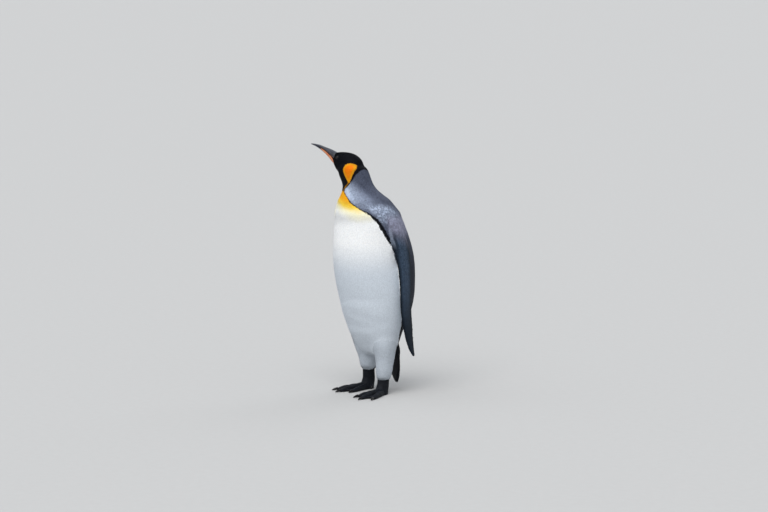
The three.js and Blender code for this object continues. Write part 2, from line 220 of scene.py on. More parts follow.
def tube_faces(rings, sides):
    """Faces of a tube of rings, closed at both ends."""
    last = (rings - 1) * sides
    ends = [tuple(reversed(range(sides))), tuple(range(last, last + sides))]
    return grid_faces(rings, sides, closed=True) + ends


def applied(obj, kind, **settings):
    """Applies one modifier to the object's mesh."""
    modifier = obj.modifiers.new(kind, kind)
    for key, value in settings.items():
        setattr(modifier, key, value)
    graph = bpy.context.evaluated_depsgraph_get()
    mesh = bpy.data.meshes.new_from_object(obj.evaluated_get(graph))
    obj.modifiers.clear()
    old = obj.data
    obj.data = mesh
    bpy.data.meshes.remove(old)


def add_shape(obj, operator, middle, **settings):
    """Adds a ball, cone or the like to the object's mesh."""
    mesh = bmesh.new()
    mesh.from_mesh(obj.data)
    shape = operator(mesh, **settings)
    bmesh.ops.translate(mesh, verts=shape["verts"], vec=Vector(middle))
    mesh.to_mesh(obj.data)
    mesh.free()


def joined_copy(name, nodes, grow):
    """One object from copies of CAD nodes, each pushed out so that neighbours merge."""
    points, faces, count = [], [], 0
    for node in nodes:
        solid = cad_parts[node]
        merged, index = np.unique(mesh_points(solid).round(6), axis=0, return_inverse=True)
        normals = np.zeros_like(merged)
        np.add.at(normals, index.ravel(), mesh_normals(solid))
        points.append(merged + unit(normals) * (grow * MM))
        faces.append(index.ravel()[mesh_triangles(solid)] + count)
        count += len(merged)
    return new_mesh(name, np.concatenate(points), np.concatenate(faces))


class Relax:
    """Smooths values at vertices by a share that may differ from place to place."""

    def __init__(self, mesh):
        edges = np.empty(len(mesh.edges) * 2, np.int32)
        mesh.edges.foreach_get("vertices", edges)
        self.a, self.b = edges.reshape(-1, 2).T
        self.count = len(mesh.vertices)
        self.degree = np.maximum(np.bincount(edges, minlength=self.count), 1)

    def mean(self, values):
        out = np.empty_like(values)
        for k in range(values.shape[1]):
            total = np.bincount(self.a, values[self.b, k], self.count)
            total += np.bincount(self.b, values[self.a, k], self.count)
            out[:, k] = total / self.degree
        return out

    def run(self, values, share, rounds):
        shape, values = values.shape, values.reshape(self.count, -1)
        share = np.broadcast_to(share, self.count)[:, None]
        for _ in range(rounds):
            values = values + share * (self.mean(values) - values)
        return values.reshape(shape)


def remeshed(obj, voxel, rounds=0):
    """Makes the object one even closed surface, smooths it and returns its Relax."""
    applied(obj, "REMESH", mode="VOXEL", voxel_size=voxel * MM, adaptivity=0)
    relax = Relax(obj.data)
    set_points(obj, relax.run(mesh_points(obj), 0.5, rounds))
    return relax


# ---- the body's axis and the wings' edges, from the solids
RING_POINTS = 20  # a ring of the solids has at least so many
NECK_END = 757


def ring_middles(nodes, below):
    """Heights and middles of the solids' horizontal rings, as three rows: z, x, y."""
    points = np.concatenate([to_bird(mesh_points(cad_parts[n])) for n in nodes])
    points = points[points[:, 2] < below]
    heights = points[:, 2].round(1)
    rows = []
    for z in np.unique(heights):
        ring = points[heights == z]
        if len(np.unique(ring.round(1), axis=0)) >= RING_POINTS:
            rows.append([z, *((ring.min(0) + ring.max(0)) / 2)[:2]])
    return np.array(rows).T


AXIS = ring_middles(["trunk", "neck"], NECK_END)
TWIST_FROM, TWIST_TO = 600, 745  # between these heights the neck's front turns to the bill's way


def axis_at(z):
    """Middle of the trunk or neck at a height."""
    return np.stack([np.interp(z, AXIS[0], middle) for middle in AXIS[1:]], -1)


def round_body(bird):
    """Angle round the trunk or neck from the middle of its front, left +, in degrees."""
    across = bird[:, :2] - axis_at(bird[:, 2])
    angle = np.arctan2(across[:, 0], -across[:, 1]) + HEAD_YAW * ramp(bird[:, 2], TWIST_FROM, TWIST_TO)
    return np.degrees((angle + np.pi) % (2 * np.pi) - np.pi)


# Left wing: middle of the blade (x, y, z), chord, and the way its outer face looks (degrees from ahead).
WING_X, WING_Y, WING_Z, WING_CHORD, WING_FACING = np.array(
    [
        [134, 77, 130, 16, 114], [133, 71, 146, 35, 113], [132, 62, 175, 51, 111],
        [131, 53, 225, 65, 109], [130.5, 44, 295, 75, 108], [133.5, 40, 362, 80, 107.5],
        [134, 35, 425, 83, 106], [129, 28, 485, 84, 103], [119, 20, 532, 80, 99],
        [103, 12, 575, 66, 95], [82, 4, 610, 40, 92],
    ]
).T
WING_TIP, WING_TOP = WING_Z[0], WING_Z[-1]
WING_STEP = 12.0  # the wing's way at a height is read from so far above and below


class Wing:
    """Places on a wing; outward is 1 for the left one and -1 for the right."""

    def __init__(self, outward):
        self.outward = outward

    def station(self, z):
        """Middle of the blade, chord, and the ways out of its outer face and to its leading edge."""
        x, y, chord, facing = (np.interp(z, WING_Z, row) for row in (WING_X, WING_Y, WING_CHORD, WING_FACING))
        facing = np.radians(facing)
        out = np.stack([self.outward * np.sin(facing), -np.cos(facing), 0 * z], -1)
        ahead = np.stack([-self.outward * np.cos(facing), -np.sin(facing), 0 * z], -1)
        return np.stack([self.outward * x, y, z], -1), chord, out, ahead

    def place(self, bird):
        """Across the blade from its leading edge and along it from the shoulder, both from 0 to 1."""
        middle, chord, _, ahead = self.station(bird[:, 2])
        across = 0.5 - ((bird - middle) * ahead).sum(-1) / chord
        return across, (WING_TOP - bird[:, 2]) / (WING_TOP - WING_TIP)

    def way(self, bird):
        """The way from shoulder to tip, and the way to the trailing edge."""
        low, high = (self.station(bird[:, 2] + d)[0] for d in (-WING_STEP, WING_STEP))
        return unit(low - high + np.array([0, 0, -0.1])), -self.station(bird[:, 2])[3]

    def outer(self, bird, normal):
        """How much a surface belongs to the outer face, from 0 to 1."""
        return ramp((normal * self.station(bird[:, 2])[2]).sum(-1), -0.35, 0.05)


# ---- markings
# Linear colours of the plumage.
WHITE = np.array((0.93, 0.945, 0.96))
# Painted shade: shares that darken and blue the white on the lower belly and on the legs.
LOW_PAINTED_SHADE = np.array((0.72, 0.77, 0.83))  # the belly's share of white near the legs
LEG_PAINTED_SHADE = np.array((0.50, 0.54, 0.59))  # and on the legs
CREAM = np.array((0.95, 0.90, 0.64))
YELLOW = np.array((0.95, 0.66, 0.07))
BIB_ORANGE = np.array((0.80, 0.35, 0.010))
EAR_ORANGE = np.array((0.85, 0.20, 0.003))
EAR_YELLOW = np.array((0.72, 0.31, 0.009))
BLACK = np.array((0.0045, 0.005, 0.008))
HOOD = np.array((0.0028, 0.0032, 0.0060))
SILVER = np.array((0.47, 0.55, 0.71))
GREY = np.array((0.118, 0.136, 0.200))
SLATE = np.array((0.015, 0.018, 0.029))
FLIPPER = np.array((0.0052, 0.0092, 0.0145))
# Painted highlight along the middle of the flipper's outer face.
FLIPPER_HIGHLIGHT = np.array((0.060, 0.093, 0.148))
PLUM = np.array((0.29, 0.295, 0.40))
TAIL = np.array((0.011, 0.012, 0.016))

# The black line between the front's colours and the back's grey climbs from the flank past the bib to the ear
# patch: height, and degrees round the body from the middle of the front.
BORDER_Z, BORDER_DEGREES = np.array(
    [
        [60, 118], [150, 114], [200, 110], [240, 105], [312, 94], [360, 92], [400, 94], [433, 95],
        [465, 93], [497, 85], [520, 79.5], [543, 74], [586, 66], [608, 58], [633, 48], [652, 44],
        [670, 46], [687, 43], [694, 49], [703, 68], [712, 89], [729, 119.5], [752, 151], [766, 170],
    ]
).T
# Half width of the black line at rising heights.
LINE_HALF = np.array([[500, 5.5], [545, 6.5], [570, 7], [600, 5.5], [640, 2.6], [687, 1.2]]).T
# The bib from below: each colour, and the heights where it starts and where it is full.
BIB = ((CREAM, 578, 622), (YELLOW, 612, 640), (BIB_ORANGE, 634, 662))
BIB_TOP = 687.0  # where the throat's black ends
BIB_MIDDLE, BIB_LOBE = -12.0, 38.0  # degrees: the bib's yellow runs lowest on two lobes beside its middle
BIB_CURVE = 0.0125  # how much higher it ends beside them, for each squared degree

# The ear patch in the head's own frame: a drop with its round end up, whose tail runs down to the bib.
PATCH_MIDDLE = np.array([-90.0, 15.5])
PATCH_TAIL = np.array([-109.0, -20.5])
PATCH_RADIUS, TAIL_RADIUS = 19.0, 3.2
PATCH_STRETCH = 1.13  # the patch is wider along the head than it is high
PATCH_POWER = 2.05  # and a touch boxier than an ellipse
PATCH_TILT = math.radians(11)  # its top edge lies level while the bill points up
FAR_PATCH_AHEAD = 17.0  # the right patch sits further forward, because the nape is turned
# Back edge of the black hood: height and forward place in the head's own frame.
HOOD_BACK = np.array(
    [[-60, -98], [-45, -107], [-20, -114], [0, -118], [16, -120], [26, -120.5], [40, -117], [60, -112]]
).T
LEG_OUT = 55  # from the body's middle to each leg's
RIGHT_LEG_BACK = 30  # how much further back the right leg stands
NOISE_VALUES = 4096


def ear_patch(forward, up):
    """How far inside the ear patch a point is, and how far down the drop."""
    axis = PATCH_TAIL - PATCH_MIDDLE
    p = np.stack([forward, up], -1) - PATCH_MIDDLE
    t = np.clip((p @ axis) / (axis @ axis), 0, 1)
    radius = PATCH_RADIUS + (TAIL_RADIUS - PATCH_RADIUS) * t**1.3
    off = np.abs((p - t[:, None] * axis) @ turned(-PATCH_TILT, 0, 1)[:2, :2]) / np.array([PATCH_STRETCH, 1])
    return radius - (off**PATCH_POWER).sum(1) ** (1 / PATCH_POWER), t


def past_border(bird, angle):
    """How far behind the black line's middle a point lies, along the surface."""
    z = bird[:, 2]
    radius = np.linalg.norm(bird[:, :2] - axis_at(z), axis=-1)
    border = np.interp(z, BORDER_Z, BORDER_DEGREES)
    slope = np.interp(z, BORDER_Z, np.gradient(BORDER_DEGREES, BORDER_Z))
    return np.radians(np.abs(angle) - border) * radius / np.hypot(1, np.radians(slope) * radius)


def blotches(bird, size, seed):
    """Smooth noise between 0 and 1: random values on a lattice, blended."""
    rng = np.random.default_rng(seed)
    values = rng.random(NOISE_VALUES)
    total = np.zeros(len(bird))
    for finer, share in ((1.8, 0.65), (3.9, 0.35)):
        place = bird * finer / size + rng.uniform(100, 200, 3)
        cell = np.floor(place).astype(np.int64)
        t = ramp(place - cell, 0, 1)
        for corner in itertools.product((0, 1), repeat=3):
            weight = np.prod(np.where(corner, t, 1 - t), axis=1)
            x, y, z = (cell + corner).T
            total += share * weight * values[(x * 73856093 ^ y * 19349663 ^ z * 83492791) % NOISE_VALUES]
    return 0.5 + 0.5 * np.tanh(5 * (total - 0.5))


def ragged(bird, reach, size, seed):
    """Shifts to either side that keep an edge from looking ruled."""
    return reach * (blotches(bird, size, seed) - 0.5)


def front_colour(bird, angle):
    """The bib and belly: orange under the throat, through yellow and cream to white, with painted shade that
    makes it darker and bluer low down.
    """
    off = np.abs(angle - BIB_MIDDLE) + BIB_MIDDLE - BIB_LOBE
    z = bird[:, 2] + ragged(bird, 6, 60, 3) - 2 - BIB_CURVE * off**2
    colour = painted(WHITE, *((tone, ramp(z, low, high)) for tone, low, high in BIB))
    # Painted shade: the white darkens towards the legs.
    return lerp(colour, colour * LOW_PAINTED_SHADE, ramp(bird[:, 2], 530, 400))


def back_colour(bird, angle):
    """Silver at the front of the neck, blue-grey nape, mottled shoulder, slate back darkened low down and
    towards the rear partly by painted shade, and a dark rump.
    """
    z, side = bird[:, 2], np.abs(angle)
    mottle = blotches(bird, 9, 5)
    # Partly painted shade: the plumage's own grey and slate, darkened low down and towards the rear.
    slate = lerp(SLATE, GREY, 0.08 + 0.84 * ramp(z, 400, 650)) * (1 - 0.22 * ramp(side, 95, 140))[:, None]
    front = ramp(z, 618, 690) * ramp(side, 130, 58)
    shoulder = band(z, 572, 608, 632, 656) * band(side, 56, 74, 96, 140)
    plum = band(z, 522, 562, 590, 622) * band(side, 76, 90, 128, 150)
    colour = painted(
        slate,
        (SILVER, np.clip(0.75 * front + 0.35 * ramp(side, 75, 50) * front, 0, 1)),
        (SILVER, shoulder * (0.38 + 0.42 * ramp(mottle, 0.25, 0.8))),
        (PLUM, 0.75 * plum),
        (TAIL, ramp(z, 270, 190) * ramp(side, 100, 125)),
    )
    return colour * (0.86 + 0.28 * mottle)[:, None]


def body_colour(bird):
    """Trunk, neck and head."""
    angle, z = round_body(bird), bird[:, 2]
    beyond = past_border(bird, angle) + ragged(bird, 1.2, 22, 8)
    half = np.interp(z, *LINE_HALF)
    throat = ramp(beyond, 0.5, -0.5) * ramp(z + 0.08 * np.abs(angle), BIB_TOP - 2, BIB_TOP + 6)
    glow = band(beyond, -4.4, -3.6, -1.0, -0.3) * ramp(z, BIB_TOP - 16, BIB_TOP - 4) * ramp(z, 722, 712)
    # The hood ends behind the ear patch.
    forward, side, up = head_frame(bird)
    hood = ramp(forward + ragged(bird, 1.6, 12, 4) - np.interp(up, *HOOD_BACK), -1, 1) * ramp(z, 716, 726)
    inside, down = ear_patch(forward - np.where(side < 0, FAR_PATCH_AHEAD, 0), up)
    ear = lerp(EAR_YELLOW, EAR_ORANGE, ramp(inside, 2.0, 9.5) * (1 - 0.5 * down))
    return painted(
        front_colour(bird, angle),
        (back_colour(bird, angle), ramp(beyond, -0.5, 0.5)),
        (HOOD, throat),
        (0.55 * BIB_ORANGE, 0.9 * glow),
        (BLACK, ramp(np.abs(beyond) - half, 0.8, -0.8)),
        (HOOD, hood),
        (ear, ramp(inside, -0.6, 0.6) * ramp(np.abs(side), 13, 19)),
    )


def wing_colour(bird, wing, outer):
    """Slate outer face with a painted highlight along its middle, a painted glint and a painted shadow in the
    fold near the leading edge, and black edges; white inner face with dark rim, tip and armpit.
    """
    across, along = wing.place(bird)
    mottle = blotches(bird, 9, 11)
    # Painted highlight along the middle of the outer face, fading towards the tip.
    highlight_streak = band(across, 0.0, 0.16, 0.5, 0.95) * ramp(along, 0.06, 0.2) * (0.7 + 0.25 * mottle)
    shoulder = back_colour(bird, round_body(bird))
    shoulder = lerp(shoulder, PLUM * (0.75 + 0.5 * mottle)[:, None], 0.7 * ramp(along, 0.02, 0.1))
    # Painted shadow in the fold behind the leading edge, below the shoulder.
    crease_shadow = band(across, 0.06, 0.09, 0.15, 0.22) * band(along, 0.1, 0.15, 0.24, 0.3)
    colour = painted(
        FLIPPER,
        (FLIPPER_HIGHLIGHT, highlight_streak * (0.1 + 0.9 * ramp(along, 0.84, 0.46))),
        (shoulder, ramp(along - 0.08 * (across - 0.5), 0.24, 0.06)),
        # Painted highlight: a silver glint on the leading edge below the shoulder.
        (SILVER, 0.3 * ramp(across, 0.1, 0.05) * band(along, 0.06, 0.1, 0.18, 0.24)),
        (BLACK, 0.45 * crease_shadow),
        (BLACK, 0.7 * ramp(across, 0.05, 0.01) * ramp(along, 0.36, 0.46)),
        (BLACK, 0.6 * ramp(across, 0.82, 0.94) * ramp(along, 0.15, 0.25)),
    )
    colour = colour * (0.92 + 0.16 * mottle)[:, None]
    front_rim = ramp(across, 0.12, 0.05) * ramp(along, 0.5, 0.6)
    armpit = ramp(across, 0.22, 0.12) * ramp(along, 0.37, 0.31)
    rim = np.clip(front_rim + armpit + ramp(along, 0.8, 0.93) + ramp(across, 0.9, 0.97), 0, 1)
    return painted(WHITE, (SLATE, rim), (colour, ramp(along, 0.16, 0.06)), (colour, outer))


def round_leg(bird, right, middle_y):
    """Angle round a leg from straight ahead, left +, in radians."""
    return np.arctan2(bird[:, 0] - np.where(right, -LEG_OUT, LEG_OUT), middle_y - bird[:, 1])


def leg_colour(bird, right):
    """White trousers under painted shade, darkest low down and on the left leg; dark behind and at the
    ankle's back.
    """
    z = bird[:, 2]
    middle_y = np.where(z > 110, 18.0, 12.0) + (RIGHT_LEG_BACK if right else 0)
    angle = np.degrees(round_leg(bird, right, middle_y))
    edge = np.interp(z, [90, 180], [122, 147])
    behind = ramp(np.abs(angle) + ragged(bird, 12, 16, 23) - edge, 0, 8)
    # Painted shade: the trousers start from shaded white, the left leg darker than the right.
    ankle = WHITE * LEG_PAINTED_SHADE * (1.25 if right else 1.03)
    return painted(ankle, (WHITE * LOW_PAINTED_SHADE, ramp(z, 140, 215)), (0.7 * SLATE, behind))


# ---- the skin under the plumage
# Each part of the flesh: share by which it is smoothed, the coat's depth, the distance between feather roots,
# and a feather's length over that distance.
FLESH = {
    "trunk": (0.5, 1.9, 2.1, 7.4),
    "neck": (0.5, 1.8, 1.6, 6.8),
    "head": (0.22, 1.0, 0.95, 5.4),
    "wing_left": (0.07, 0.7, 1.36, 4.2),
    "wing_right": (0.07, 0.7, 1.36, 4.2),
    "leg_left": (0.4, 2.1, 1.75, 7.0),
    "leg_right": (0.4, 2.1, 1.75, 7.0),
    "tail": (0.07, 3.0, 2.0, 6.5),
}
TRUNK, NECK, HEAD, WING_L, WING_R, LEG_L, LEG_R, TAIL_PART = range(len(FLESH))
SMOOTHING, COAT_DEPTH, SPACING, LENGTH = np.array(list(FLESH.values())).T
WINGS = {WING_L: Wing(1), WING_R: Wing(-1)}
LEGS = (LEG_L, LEG_R)
GROW = 0.5  # how far the copies are pushed out, so that they merge
SKIN_VOXEL = 2.8
SMOOTH_ROUNDS = 45
WING_ROOT = (500, 545)  # heights between which a wing comes to be smoothed like the trunk
THIGH = (84, 120, 225, 270)  # heights where the legs leave the belly, easing in and out
THIGH_ROUNDS = 60  # more rounds there
TAIL_THINNER = 1.2  # less coat on the upper tail, where short feathers run out over the quills
OVERHANG = 0.3  # share of its length by which a feather may pass the skin's edge
CUFF = np.array([52.0, 76.0])  # heights where the left and right trousers end
CUFF_HANG = 1.0  # that share at the trousers' ends, where ragged feathers hang over the shank
CUFF_IN = 1.4  # how far they lean in to it
CUFF_LONGER = 0.7  # and how much longer they are than the others
HEADING_SPREAD = 0.055  # how far feathers turn from the lie of the coat
PLUG_RADIUS = 15.5  # balls that fill the eye sockets up to the cheek
BARE_RIM = 7.2  # from the eye's middle to the first feathers
BILL_BASE = 14  # forward of the gape, where the feathers end
# Creases of the belly: height, slope, width and depth.
CREASES = ((322, 0.16, 16, 0.9), (278, -0.22, 15, 0.8), (236, 0.1, 17, 0.7))


def eye_axes(sign):
    """The eye's own axes: out of the head, forward and up."""
    forward, side, up = unit(EYE_WAY)
    out = head_point(forward, sign * side, up) - head_point(0.0, 0.0, 0.0)
    ahead = flat_to(HEAD_FORWARD, out)
    return out, ahead, np.cross(out, ahead) * sign


def eye_centre(sign, inward=EYE_SUNK):
    return head_point(EYE_FORWARD, sign * EYE_SIDE, EYE_UP) - inward * eye_axes(sign)[0]


def creased(bird):
    """Height that the belly's creases add."""
    x, y, z = bird.T
    total = np.zeros(len(bird))
    for at, slope, wide, deep in CREASES:
        total -= deep * hump(z - slope * x - 6 * np.sin(x / 34 + at), at, wide) * hump(x, 30, 75)
    return total * ramp(axis_at(z)[:, 1] - y, 10, 60)


def make_skin():
    """One closed skin through all the flesh, inside it by the coat's depth."""
    skin = joined_copy("skin", FLESH, GROW)
    tree = BVHTree.FromPolygons(mesh_points(skin).tolist(), mesh_triangles(skin).tolist())
    owner = np.repeat(np.arange(len(FLESH)), [len(mesh_triangles(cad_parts[n])) for n in FLESH])
    for sign in (1, -1):
        middle = to_row(eye_centre(sign, inward=PLUG_RADIUS - EYE_RAISED))
        add_shape(skin, bmesh.ops.create_icosphere, middle, subdivisions=4, radius=PLUG_RADIUS * MM)
    relax = remeshed(skin, SKIN_VOXEL)
    points = mesh_points(skin)
    part = np.array([owner[tree.find_nearest(Vector(p))[2]] for p in points])
    root = ramp(to_bird(points)[:, 2], *WING_ROOT) * np.isin(part, list(WINGS))
    share = SMOOTHING[part] * (1 - root) + SMOOTHING[TRUNK] * root
    points = relax.run(points, relax.run(share, 0.5, 6), SMOOTH_ROUNDS)
    thigh = band(to_bird(points)[:, 2], *THIGH) * np.isin(part, (TRUNK, *LEGS))
    points = relax.run(points, 0.5 * thigh, THIGH_ROUNDS)
    set_points(skin, points)
    normals = unit(relax.run(mesh_normals(skin), 0.5, 3))
    bird = to_bird(points)
    depth = COAT_DEPTH[part] - TAIL_THINNER * ramp(bird[:, 2], 100, 124) * (part == TAIL_PART)
    depth = relax.run(depth, 0.5, 6)
    set_points(skin, points + normals * ((creased(bird) - depth - GROW) * MM)[:, None])
    skin.data.shade_smooth()
    return skin, part, depth, relax


# ---- the lie of the coat
LIE_STEP = 10.0  # the body's way at a height is read from so far above and below


def lie_of_coat(bird, part, normals, relax):
    """The way that feathers point at each skin vertex, along the surface."""
    z = bird[:, 2]
    along = axis_at(z - LIE_STEP) - axis_at(z + LIE_STEP)
    down = unit(np.concatenate([along, np.full((len(bird), 1), -2 * LIE_STEP)], 1))
    on_head = ramp(head_frame(bird)[0], -105, -45) * ramp(z, 715, 750)
    way = lerp(down + np.array([0, 0.22, 0]), -HEAD_FORWARD, on_head)
    for index, wing in WINGS.items():
        down, back = wing.way(bird)
        way[part == index] = (down + 0.28 * back)[part == index]
    way[np.isin(part, LEGS)] = (0, 0.05, -1)
    way[part == TAIL_PART] = (0, 0.25, -1)
    way = flat_to(way, normals)
    for _ in range(6):
        way = flat_to(relax.run(way, 0.5, 2), normals)
    return way


def spacing_at(bird, part, relax):
    """Distance between feather roots: smallest on the face and the edges of the flippers."""
    z = bird[:, 2]
    spacing = SPACING[part] * (1 - 0.22 * ramp(head_frame(bird)[0], -70, 5) * (part == HEAD))
    for index, wing in WINGS.items():
        across, along = wing.place(bird)
        small = np.clip(ramp(across, 0.16, 0.04) + ramp(along, 0.8, 1.0), 0, 1)
        spacing *= np.where(part == index, 1 - 0.16 * small + 0.35 * ramp(along, 0.25, 0.0), 1)
    spacing *= 1 - 0.18 * ramp(z, 610, 660) * (part == TRUNK)
    spacing *= 1 - 0.3 * ramp(z, 110, 60) * np.isin(part, LEGS)
    return relax.run(spacing, 0.5, 8)


def bare_places(bird, part):
    """Where no feathers grow: round each eye, at the bill's base, at the tail's end and on the shanks."""
    x, _, z = bird.T
    bare = (part == HEAD) & (head_frame(bird)[0] > BILL_BASE)
    for sign in (1, -1):
        bare |= np.linalg.norm(bird - eye_centre(sign), axis=1) < BARE_RIM
    covert_end = 107 + 22 * np.clip(np.abs(x) / 28, 0, 1) ** 1.6 + ragged(bird, 7, 8, 19)
    bare |= (part == TAIL_PART) & (z < covert_end)
    return bare | (z + ragged(bird, 6, 9, 17) < CUFF[(x < 0).astype(int)])


CANDIDATES = 4.5  # random places tried for each one that is hoped for


def scatter(points, triangles, spacing, rng):
    """Even random places, no two nearer than the spacing there: triangles and corner weights."""
    a, b, c = (points[triangles[:, k]] for k in range(3))
    area = np.linalg.norm(np.cross(b - a, c - a), axis=1) / 2
    local = spacing[triangles].mean(1) * MM
    weight = area / local**2
    count = int(weight.sum() * CANDIDATES)
    chosen = rng.choice(len(triangles), size=count, p=weight / weight.sum())
    r1, r2 = np.sqrt(rng.random(count)), rng.random(count)
    corners = np.stack([1 - r1, r1 * (1 - r2), r1 * r2], -1)
    places = (points[triangles[chosen]] * corners[:, :, None]).sum(1)
    tree = point_tree(places)
    free = np.ones(count, bool)
    kept = []
    for i in range(count):
        if free[i]:
            kept.append(i)
            free[[j for _, j, _ in tree.find_range(places[i], local[chosen[i]])]] = False
    return chosen[kept], corners[kept]


# ---- feather vanes
ROWS = np.array([0.36, 0.83])  # places along a vane between its root and its tip
ROW_WIDTH = np.array([1.0, 0.9])  # share of its width there
RIDGE = 0.035  # height of the shaft's ridge over the vane's width
RIDGE_ABOVE = 0.65  # share of it above the vane's middle plane; the sides lie below by the rest
VANE_WIDTH, HEAD_NARROWER = 2.1, 0.3  # a vane's width over the distance between roots, and less on the head
ROOT_SUNK = 0.3  # how deep a vane starts in the skin
ACROSS = np.array([0.5, 0.0, 0.5, 1.0, 0.0, 0.5, 1.0, 0.5])
ALONG = np.array([0, *np.repeat(ROWS, 3), 1])
VANE_FACES = [(0, 2, 1), (0, 3, 2), (0, 1, 3), (1, 2, 5, 4), (2, 3, 6, 5), (3, 1, 4, 6)]
VANE_FACES += [(4, 5, 7), (5, 6, 7), (6, 4, 7)]
PATCH = 0.003  # size of a feather's patch on the OFBake map
MAX_VANES = 16000
SIDE_ROUND = 0.15  # how far a vane's shading normals lean to its sides
TIP_ROUND = 0.12  # and forward at its tip


def raw_mesh(name, points, corners, sizes):
    mesh = bpy.data.meshes.new(name)
    mesh.vertices.add(len(points))
    mesh.vertices.foreach_set("co", points.astype(np.float32).ravel())
    mesh.loops.add(len(corners))
    mesh.loops.foreach_set("vertex_index", corners.astype(np.int32))
    mesh.polygons.add(len(sizes))
    mesh.polygons.foreach_set("loop_start", (np.cumsum(sizes) - sizes).astype(np.int32))
    mesh.update(calc_edges=True)
    mesh.shade_smooth()
    return mesh


def feather_piece(name, f, unwrap):
    """One joined mesh of vanes. unwrap holds each root's place on the piece's own map."""
    n = len(f.root)
    chord = f.end - f.root
    bend = 0.5 * ((f.end_normal - f.normal) * f.way).sum(1) * np.linalg.norm(chord, axis=1)
    points, normals = np.empty((2, n, len(ALONG), 3))
    for k, (across, t) in enumerate(zip(ACROSS, ALONG)):
        normal = unit(f.normal * (1 - t) + f.end_normal * t)
        rise = f.depth * np.sin(np.pi / 2 * t) ** 0.9 - ROOT_SUNK * MM * (1 - t) + t * (1 - t) * bend
        if 0 < t < 1:
            out = 1 - 2 * across
            wide = f.width * np.interp(t, ROWS, ROW_WIDTH)
            rise = rise + RIDGE * wide * (RIDGE_ABOVE - (out != 0))
        else:
            out = t * f.skew
            wide = f.width
        points[:, k] = f.root + chord * t + normal * rise[:, None] + f.side * (out * wide / 2)[:, None]
        rounding = SIDE_ROUND * np.broadcast_to(out, n)[:, None] * f.side + TIP_ROUND * t**4 * f.way
        normals[:, k] = unit(normal + rounding)
    shade = np.broadcast_to(np.interp(ALONG, [0, *ROWS, 1], [0, 0, 0.9, 1]), (n, len(ALONG)))
    colour = lerp(f.base[:, None, :], f.tip[:, None, :], shade)
    vane = np.stack([ACROSS, ALONG], -1)
    sizes = np.array([len(face) for face in VANE_FACES])
    corners = (np.concatenate(VANE_FACES) + len(ALONG) * np.arange(n)[:, None]).ravel()
    mesh = raw_mesh(name, points.reshape(-1, 3), corners, np.tile(sizes, n))
    mark(mesh, "coat", colour.reshape(-1, 3))
    bake = (0.01 + 0.98 * unwrap)[:, None, :] + (vane - 0.5) * PATCH
    for layer, uv in (("OFBake", bake), ("vane", np.broadcast_to(vane, bake.shape))):
        places = uv.reshape(-1, 2)[corners].astype(np.float32)
        mesh.uv_layers.new(name=layer).data.foreach_set("uv", places.ravel())
    mesh.normals_split_custom_set_from_vertices(normals.reshape(-1, 3))
    return add_object(name, mesh)


def grow_feathers(skin, part, depth, relax):
    """Roots, ways, sizes and colours of the feathers on the skin: arrays with one row for each feather."""
    rng = np.random.default_rng(SEED)
    points, normals, triangles = mesh_points(skin), mesh_normals(skin), mesh_triangles(skin)
    bird = to_bird(points)
    spacing = spacing_at(bird, part, relax)
    triangles = triangles[~bare_places(bird, part)[triangles].any(1)]
    chosen, weights = scatter(points, triangles, spacing, rng)
    corner = triangles[chosen]

    def at_roots(values):
        w = weights[:, :, None] if values.ndim == 2 else weights
        return (values[corner] * w).sum(1)

    root, normal = at_roots(points), unit(at_roots(normals))
    own = part[corner[np.arange(len(corner)), weights.argmax(1)]]
    local, count = at_roots(spacing) * MM, len(root)
    heading = flat_to(at_roots(lie_of_coat(bird, part, normals, relax)), normal)
    heading = unit(heading + np.cross(normal, heading) * rng.normal(0, HEADING_SPREAD, count)[:, None])
    cuff = ramp(to_bird(root)[:, 2] - CUFF[(own == LEG_R).astype(int)], 16, 6) * np.isin(own, LEGS)
    length = local * LENGTH[own] * rng.uniform(0.9, 1.1, count) * (1 + CUFF_LONGER * cuff)

    # Each tip is laid on to the skin; past the skin's edge it hangs over by a share of its length.
    reach = root + heading * length[:, None]
    tree = BVHTree.FromPolygons(points.tolist(), triangles.tolist())
    found = [tree.find_nearest(Vector(place)) for place in reach]
    end, end_normal = (np.array([tuple(hit[k]) for hit in found]) for k in (0, 1))
    end_normal = np.where(((end_normal * normal).sum(1) > 0.3)[:, None], end_normal, normal)
    off = reach - end
    over = np.linalg.norm(off, axis=1)
    share = (OVERHANG + cuff * (CUFF_HANG - OVERHANG)) * rng.uniform(0.55, 1.3, count) ** cuff
    end += off * (np.minimum(over, share * length) / np.maximum(over, 1e-9))[:, None]
    end[:, :2] -= normal[:, :2] * (cuff * CUFF_IN * MM)[:, None]
    heading = flat_to(end - root, normal)

    # Grey feathers differ more from each other than white and black ones, and are darker at the base.
    tip = plumage_colour(to_bird(root * 0.3 + end * 0.7), own, normal)
    greyness = band(tip.max(1), 0.03, 0.1, 0.5, 0.62)
    tip = np.clip(tip * (1 + (0.02 + 0.07 * greyness) * rng.normal(0, 1, count))[:, None], 0, 0.95)
    return SimpleNamespace(
        root=root,
        normal=normal,
        end=end,
        end_normal=unit(end_normal),
        way=heading,
        side=np.cross(normal, heading),
        width=local * (VANE_WIDTH - HEAD_NARROWER * (own == HEAD)) * rng.uniform(0.9, 1.1, count),
        depth=at_roots(depth) * MM * rng.uniform(0.96, 1.02, count),
        skew=rng.uniform(-0.1, 0.1, count),
        base=tip * (0.95 - 0.45 * greyness)[:, None],
        tip=tip,
        own=own,
    )


def plumage_colour(bird, own, normal):
    """The markings at places on the coat, by the part that owns each."""
    colour = body_colour(bird)
    for index, wing in WINGS.items():
        here = own == index
        colour[here] = wing_colour(bird[here], wing, wing.outer(bird[here], normal[here]))
    for index in LEGS:
        colour[own == index] = leg_colour(bird[own == index], index == LEG_R)
    colour[own == TAIL_PART] = TAIL
    return colour


def fill_square(u, v):
    """Stretches both coordinates to the span from 0 to 1."""
    both = np.stack([u, v], -1)
    low, high = both.min(0), both.max(0)
    return (both - low) / np.maximum(high - low, 1e-9)


